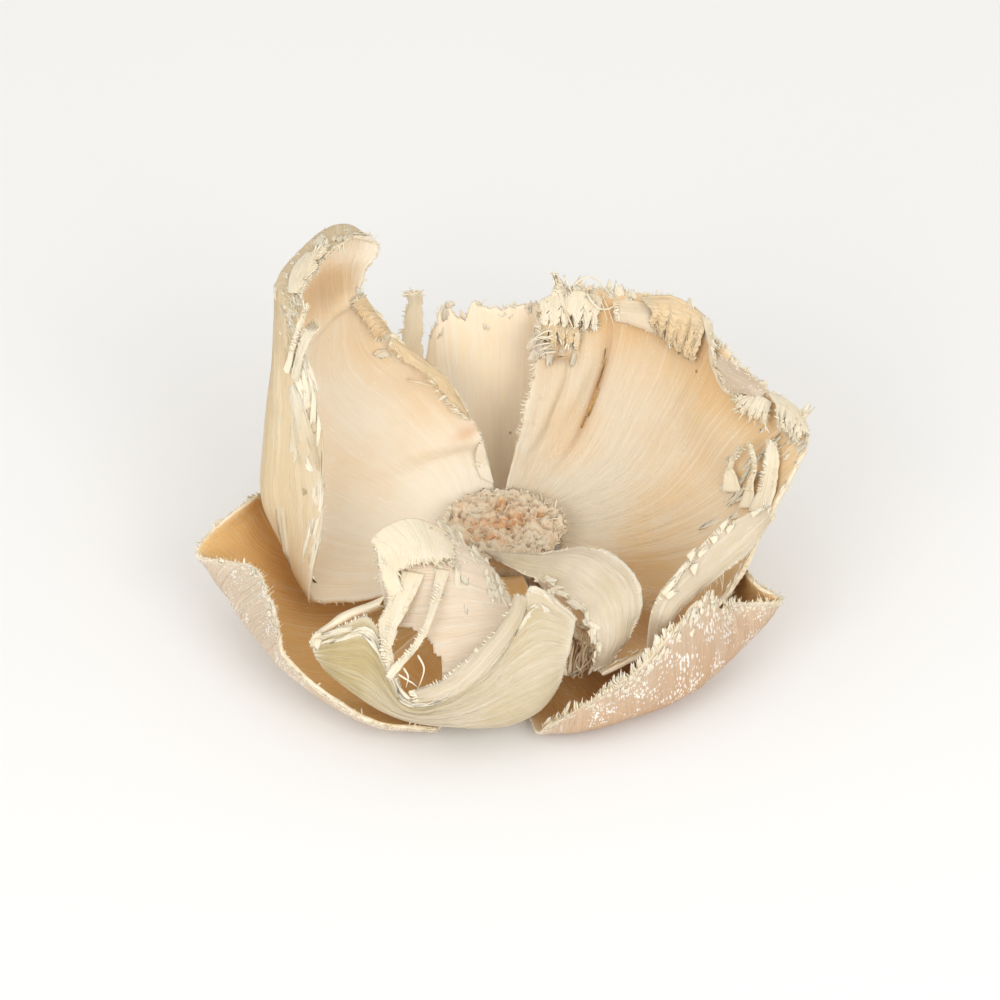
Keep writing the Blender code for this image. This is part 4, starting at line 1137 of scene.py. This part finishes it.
single_fibres("broad_tepal_hair", [
    [(18.5, 27.3, 39.4), (18.8, 27.9, 40.2), (19.8, 28.1, 40.7), (21, 28, 41)],
], 0.09)


# Inner front tepal. Torn: its outer wall sweeps round as a strap, and its inner half leans over the
# front of the scar with shreds hanging down it. Its fibres run from side to side.
strap_net = [
    collar(243, 289, INNER_RING_HEIGHT, 9),
    [(-12, -18, 7.6), (-9.5, -19.2, 6.8), (-7, -20.2, 6), (-4.5, -20.8, 5.4), (-2, -21, 5.1), (0.5, -21, 5),
     (2.8, -20.4, 5.2), (5, -19.5, 5.7), (7, -18.5, 6.4)],
    [(-21, -29, 8), (-17.5, -31.5, 6.6), (-13.5, -34, 5), (-9, -35.3, 4.6), (-4.5, -36, 4.3), (-1, -36, 4.3),
     (2, -35, 4.5), (5.3, -32.8, 5.3), (8, -30, 6.2)],
    [(-28, -33, 10.4), (-24.5, -36, 9.3), (-20, -39, 7.8), (-15, -41, 7), (-9.5, -41.8, 6.5), (-4, -42, 6.4),
     (1, -41.5, 7), (5.3, -39.8, 8.2), (8.5, -37, 9.8)],
    [(-30, -34, 13), (-26, -36.5, 13), (-21.5, -38.5, 12.2), (-16, -42.3, 9.6), (-10, -43.2, 9.9),
     (-4, -42.5, 12.2), (1.5, -40.3, 15.2), (6, -38.3, 16.6), (10, -36.5, 16)],
    [(-31, -33, 16.2), (-26, -31.5, 18.4), (-20.8, -31.5, 19.2), (-15.5, -42, 12), (-8.5, -42.5, 14.2),
     (-1.5, -38.5, 19), (2.5, -32.5, 24), (5.5, -30.5, 25.3), (11.6, -33, 21)],
]
strap_net = [row[::-1] for row in strap_net]
strap_bites = (0.9, 0.5, 0.5, 17)
strap = leather_sheet("front_tepal_strap", strap_net, 0.5, strap_bites, wave=0.35, ridges=0.12, wall=TEPAL_WALL,
                      warm=((0.92, 0.8, 0.3, 0.5, 1.0), (0.5, 0.9, 0.6, 0.08, 0.3)), turned=True)
# The strap's inner face takes the darker finish with painted shade.
dressed(strap, SHADED_INNER_SKIN, STRAP_SKIN, "torn_tepal", "tepal_inner_front")
fringe("front_tepal_strap_fringe", strap_net, (("rim", 0, 1, 1.0), ("left", 0.6, 1, 0.5)), strap_bites,
       length=0.7, slot="torn_tepal")
lean_net = [
    [(-15.5, -36, 5.6), (-10.5, -37, 5), (-5, -37.5, 4.8), (0, -37, 4.8)],
    [(-18, -39, 9), (-12, -40.5, 8.5), (-5, -41, 9), (1, -39.5, 10)],
    [(-19, -35.5, 14.5), (-12, -37, 14), (-5, -36.5, 15), (1.5, -34.5, 16.5)],
    [(-19.5, -27, 17.5), (-13, -28, 19), (-6, -28, 19.3), (1.5, -28.5, 18.5)],
    [(-20.5, -21.5, 21.5), (-14.5, -20, 23.5), (-7.5, -20, 22), (0, -22.5, 18.8)],
    [(-21, -18.5, 25), (-15.5, -14.5, 26), (-9.5, -14, 22.8), (-3, -17, 19.5)],
]
lean_bites = (1.0, 0.7, 0.7, 19)
LEAN_HOLE = [
    (-0.01, 0.30), (0.10, 0.22), (0.25, 0.20), (0.42, 0.28), (0.44, 0.42), (0.34, 0.50), (0.2, 0.54), (-0.01, 0.53),
]
lean = leather_sheet("front_tepal_leaning_half", lean_net, 0.4, lean_bites, wave=0.35, ridges=0.14, wall=TEPAL_WALL,
                     warm=((0.6, 0.45, 0.5, 0.2, 0.3),), turned=True, gaps=(LEAN_HOLE,))
dressed(lean, PEACH_PLAIN, STRAP_SKIN, "torn_tepal")
fringe("front_tepal_lean_fringe", lean_net,
       (("rim", 0, 1, 0.6), ("left", 0.74, 1, 0.7), ("right", 0.4, 1, 0.5)), lean_bites, length=1.2,
       slot="torn_tepal")
# name, (bites and seed), finish, length of the fringe, net
FRONT_FLAPS = (
    ("lean_hood", (3.0, 1.0, 1.0, 91), CREAM_SKIN, 1.4, [
        [(-21, -19.7, 24.8), (-21.3, -18.8, 25.3), (-19.1, -16.7, 26.2), (-15.2, -14.6, 26.2),
         (-11.4, -14, 24.3), (-8.5, -14.8, 22.7)],
        [(-19.7, -22.5, 22.9), (-18.1, -20.9, 24.5), (-15.5, -20.2, 25.1), (-13, -19.7, 24.9),
         (-10.4, -19.8, 24), (-7.5, -20, 22.9)],
        [(-18.7, -25.9, 20.7), (-17.1, -25.5, 21.6), (-14.8, -24.5, 22.9), (-12.6, -24.5, 22.8),
         (-9.7, -24.1, 22.6), (-7.8, -23.2, 22.2)],
    ]),
    ("hanging_one", (0.8, 0.4, 0.4, 92), CREAM_SKIN, 0.8, [
        [(-16.5, -22.9, 22.4), (-12.9, -23.8, 22.3)],
        [(-17.7, -27.5, 20.4), (-14.3, -28.3, 21)],
        [(-19.2, -31.7, 18.9), (-16.5, -33.1, 18.8)],
        [(-19.8, -36.3, 17.3), (-17.9, -37, 17)],
        [(-18.5, -38.5, 14.2), (-17.9, -38.8, 14)],
    ]),
    ("hanging_two", (0.8, 0.3, 0.3, 93), CREAM_SKIN, 0.8, [
        [(-11, -22.7, 22.6), (-8.8, -22.7, 22.2)],
        [(-11.6, -28.2, 21.3), (-10.2, -28.5, 21.2)],
        [(-12.9, -32.7, 19.7), (-11.7, -33.5, 19.5)],
        [(-15, -36.5, 17.9), (-13.9, -37.4, 17.6)],
        [(-18.2, -38.7, 15.2), (-17.3, -39.6, 14.3)],
        [(-18.9, -39.1, 13), (-18.1, -39.5, 12.6)],
    ]),
    ("hanging_three", (0.8, 0.3, 0.3, 94), CREAM_SKIN, 0.8, [
        [(-20.8, -18.6, 25.9), (-18.4, -19.7, 24.3)],
        [(-20, -23.5, 22.5), (-16.7, -25, 22)],
        [(-19, -27.6, 20.1), (-15.4, -28.8, 20.6)],
        [(-20.2, -31.7, 18.9), (-18.3, -33.1, 18.4)],
        [(-19.3, -36.5, 16.7), (-17.6, -37.1, 16.4)],
        [(-17.3, -39.6, 11.8), (-16.3, -39.9, 11.7)],
    ]),
    ("strap_roll", (0.7, 0.4, 0.4, 95), STRAP_SKIN, 0.6, [
        [(3.6, -32.7, 24.1), (2.4, -35.2, 21.7), (-0.2, -38.3, 19), (-4, -41.4, 15.8), (-7.9, -43, 13.2),
         (-14.1, -43.4, 11.7)],
        [(2.4, -32.9, 25.6), (1.4, -35.5, 23.6), (-1.6, -38.5, 20.8), (-5.8, -41.5, 17.3), (-9.6, -42.9, 14.8),
         (-15, -43, 12.8)],
        [(1.4, -32.3, 25.1), (0.5, -34.5, 23.2), (-2.7, -37.4, 20.6), (-6.8, -40.1, 17.6),
         (-10.3, -41.6, 15.1), (-15.5, -41.9, 13.3)],
    ]),
    ("wing_tip", (0.6, 0.4, 0.4, 96), CREAM_SKIN, 1.0, [
        [(-29.1, -33.5, 16.6), (-29.7, -34.3, 15.2)],
        [(-30.3, -33.6, 18.1), (-30.8, -34.4, 16.8)],
        [(-29.1, -33, 18.3), (-28.6, -33.8, 17.5)],
    ]),
)
for name, bites, finish, frayed, net in FRONT_FLAPS:
    torn_flap("front_tepal_" + name, net, bites, finish, "torn_tepal", wave=0.45, turned=name == "strap_roll",
              start=0.1, frayed=frayed, every=0.25)
wing_back_net = [
    [(-29, -31, 15.4), (-24, -28.6, 17.2), (-18.8, -26, 17.6)],
    [(-30.2, -32.4, 16.4), (-25.3, -30.4, 18.8), (-19.8, -28.2, 19.6)],
    [(-29.6, -31.4, 17.0), (-24.6, -29, 19.2), (-18.8, -26.3, 20)],
]
wing_back = leather_sheet("front_tepal_wing_back", wing_back_net, 0.35, (0.5, 0.3, 0.3, 97), turned=True)
dressed(wing_back, CREAM_SKIN, CREAM_SKIN, "torn_tepal")
peels("front_tepal_strap_peels", strap_net, (0.05, 0.95, 0.92, 0.99), 50, 513, (3.0, 8.0), (0.5, 1.2), 0.35, -1,
      turned=True, slot="torn_tepal")
peels("front_tepal_lean_peels", lean_net, (0.45, 1.0, 0.62, 1.0), 40, 514, (1.5, 4.0), (0.8, 2.0), 0.4, 1,
      slot="torn_tepal")
peels("front_tepal_lean_side_peels", lean_net, (0.84, 1.0, 0.2, 0.8), 26, 515, (1.5, 4.0), (0.5, 1.4), 0.5, 1,
      slot="torn_tepal")
single_fibres("front_tepal_hole_fibres", [
    [(-13.8, -37.7, 17), (-12.8, -39.4, 15.8), (-13.3, -40.9, 14.2), (-14.4, -41.2, 11.5)],
    [(-16.9, -39.8, 14.8), (-15.7, -40.7, 14.6), (-14.4, -41, 13.8), (-13.5, -40.9, 12.5)],
    [(-16, -39.4, 15.7), (-15.3, -40.5, 14.9), (-15.7, -40.8, 12.8)],
], 0.2, "torn_tepal")
shreds("front_tepal_nest",
       [(9.8, -29.5, 5.9), (11.7, -29.3, 6.1), (13.7, -28.7, 6.9)],
       [(10.8, -24.5, 10.1), (12.4, -24.2, 10.6), (14.3, -25, 9.6)], 30, 98, sag=0.4, stray=1.0, flat=0.25,
       finish=WARM_FIBRE, slot="torn_tepal")


# Floor, light and camera. A plain pale floor, a soft sky and two large softboxes light the cap evenly,
# and the camera has the photo's view from 38 degrees above the front.
PHOTO_ELEVATION = 38.0
PHOTO_LENS = 200.0
PHOTO_WIDTH = 163.4
VIEW_CENTRE = Vector((-0.8, 0, 18.7)) * MM
SENSOR_WIDTH = 36.0
FLOOR_SIZE = 6.0
FLOOR_TONE = (0.93, 0.93, 0.93, 1)
SKY_COLOUR = (1.0, 0.985, 0.955, 1)
SKY_STRENGTH = 0.82
SOFTBOX_COLOUR = (1.0, 0.99, 0.975)

fresh()
bpy.ops.mesh.primitive_plane_add(size=FLOOR_SIZE, location=(0, 0, 0))
floor = start_piece("floor")
floor_finish, floor_tree, floor_shader = own_material("pale floor", 0.9)
floor_shader.inputs["Base Color"].default_value = FLOOR_TONE
floor.data.materials.append(floor_finish)

world = bpy.data.worlds.new("soft sky")
bpy.context.scene.world = world
world.use_nodes = True
world.node_tree.nodes["Background"].inputs[0].default_value = SKY_COLOUR
world.node_tree.nodes["Background"].inputs[1].default_value = SKY_STRENGTH


def softbox(name, place, size, power):
    """A square area light that faces the cap."""
    data = bpy.data.lights.new(name, "AREA")
    data.size = size
    data.energy = power
    data.color = SOFTBOX_COLOUR
    made = bpy.data.objects.new(name, data)
    made.location = place
    made.rotation_euler = (VIEW_CENTRE - Vector(place)).to_track_quat("-Z", "Y").to_euler()
    bpy.context.scene.collection.objects.link(made)


softbox("right softbox", (0.35, -0.6, 0.45), 0.45, 1.8)
softbox("left softbox", (-0.4, -0.65, 0.4), 0.5, 1.9)

camera_data = bpy.data.cameras.new("camera")
camera_data.lens = PHOTO_LENS
camera_data.sensor_width = SENSOR_WIDTH
camera = bpy.data.objects.new("camera", camera_data)
elevation = math.radians(PHOTO_ELEVATION)
distance = PHOTO_WIDTH * PHOTO_LENS / SENSOR_WIDTH * MM
camera.location = VIEW_CENTRE + distance * Vector((0, -math.cos(elevation), math.sin(elevation)))
camera.rotation_euler = (math.pi / 2 - elevation, 0, 0)
bpy.context.scene.collection.objects.link(camera)
bpy.context.scene.camera = camera
bpy.context.scene.view_settings.view_transform = "Standard"
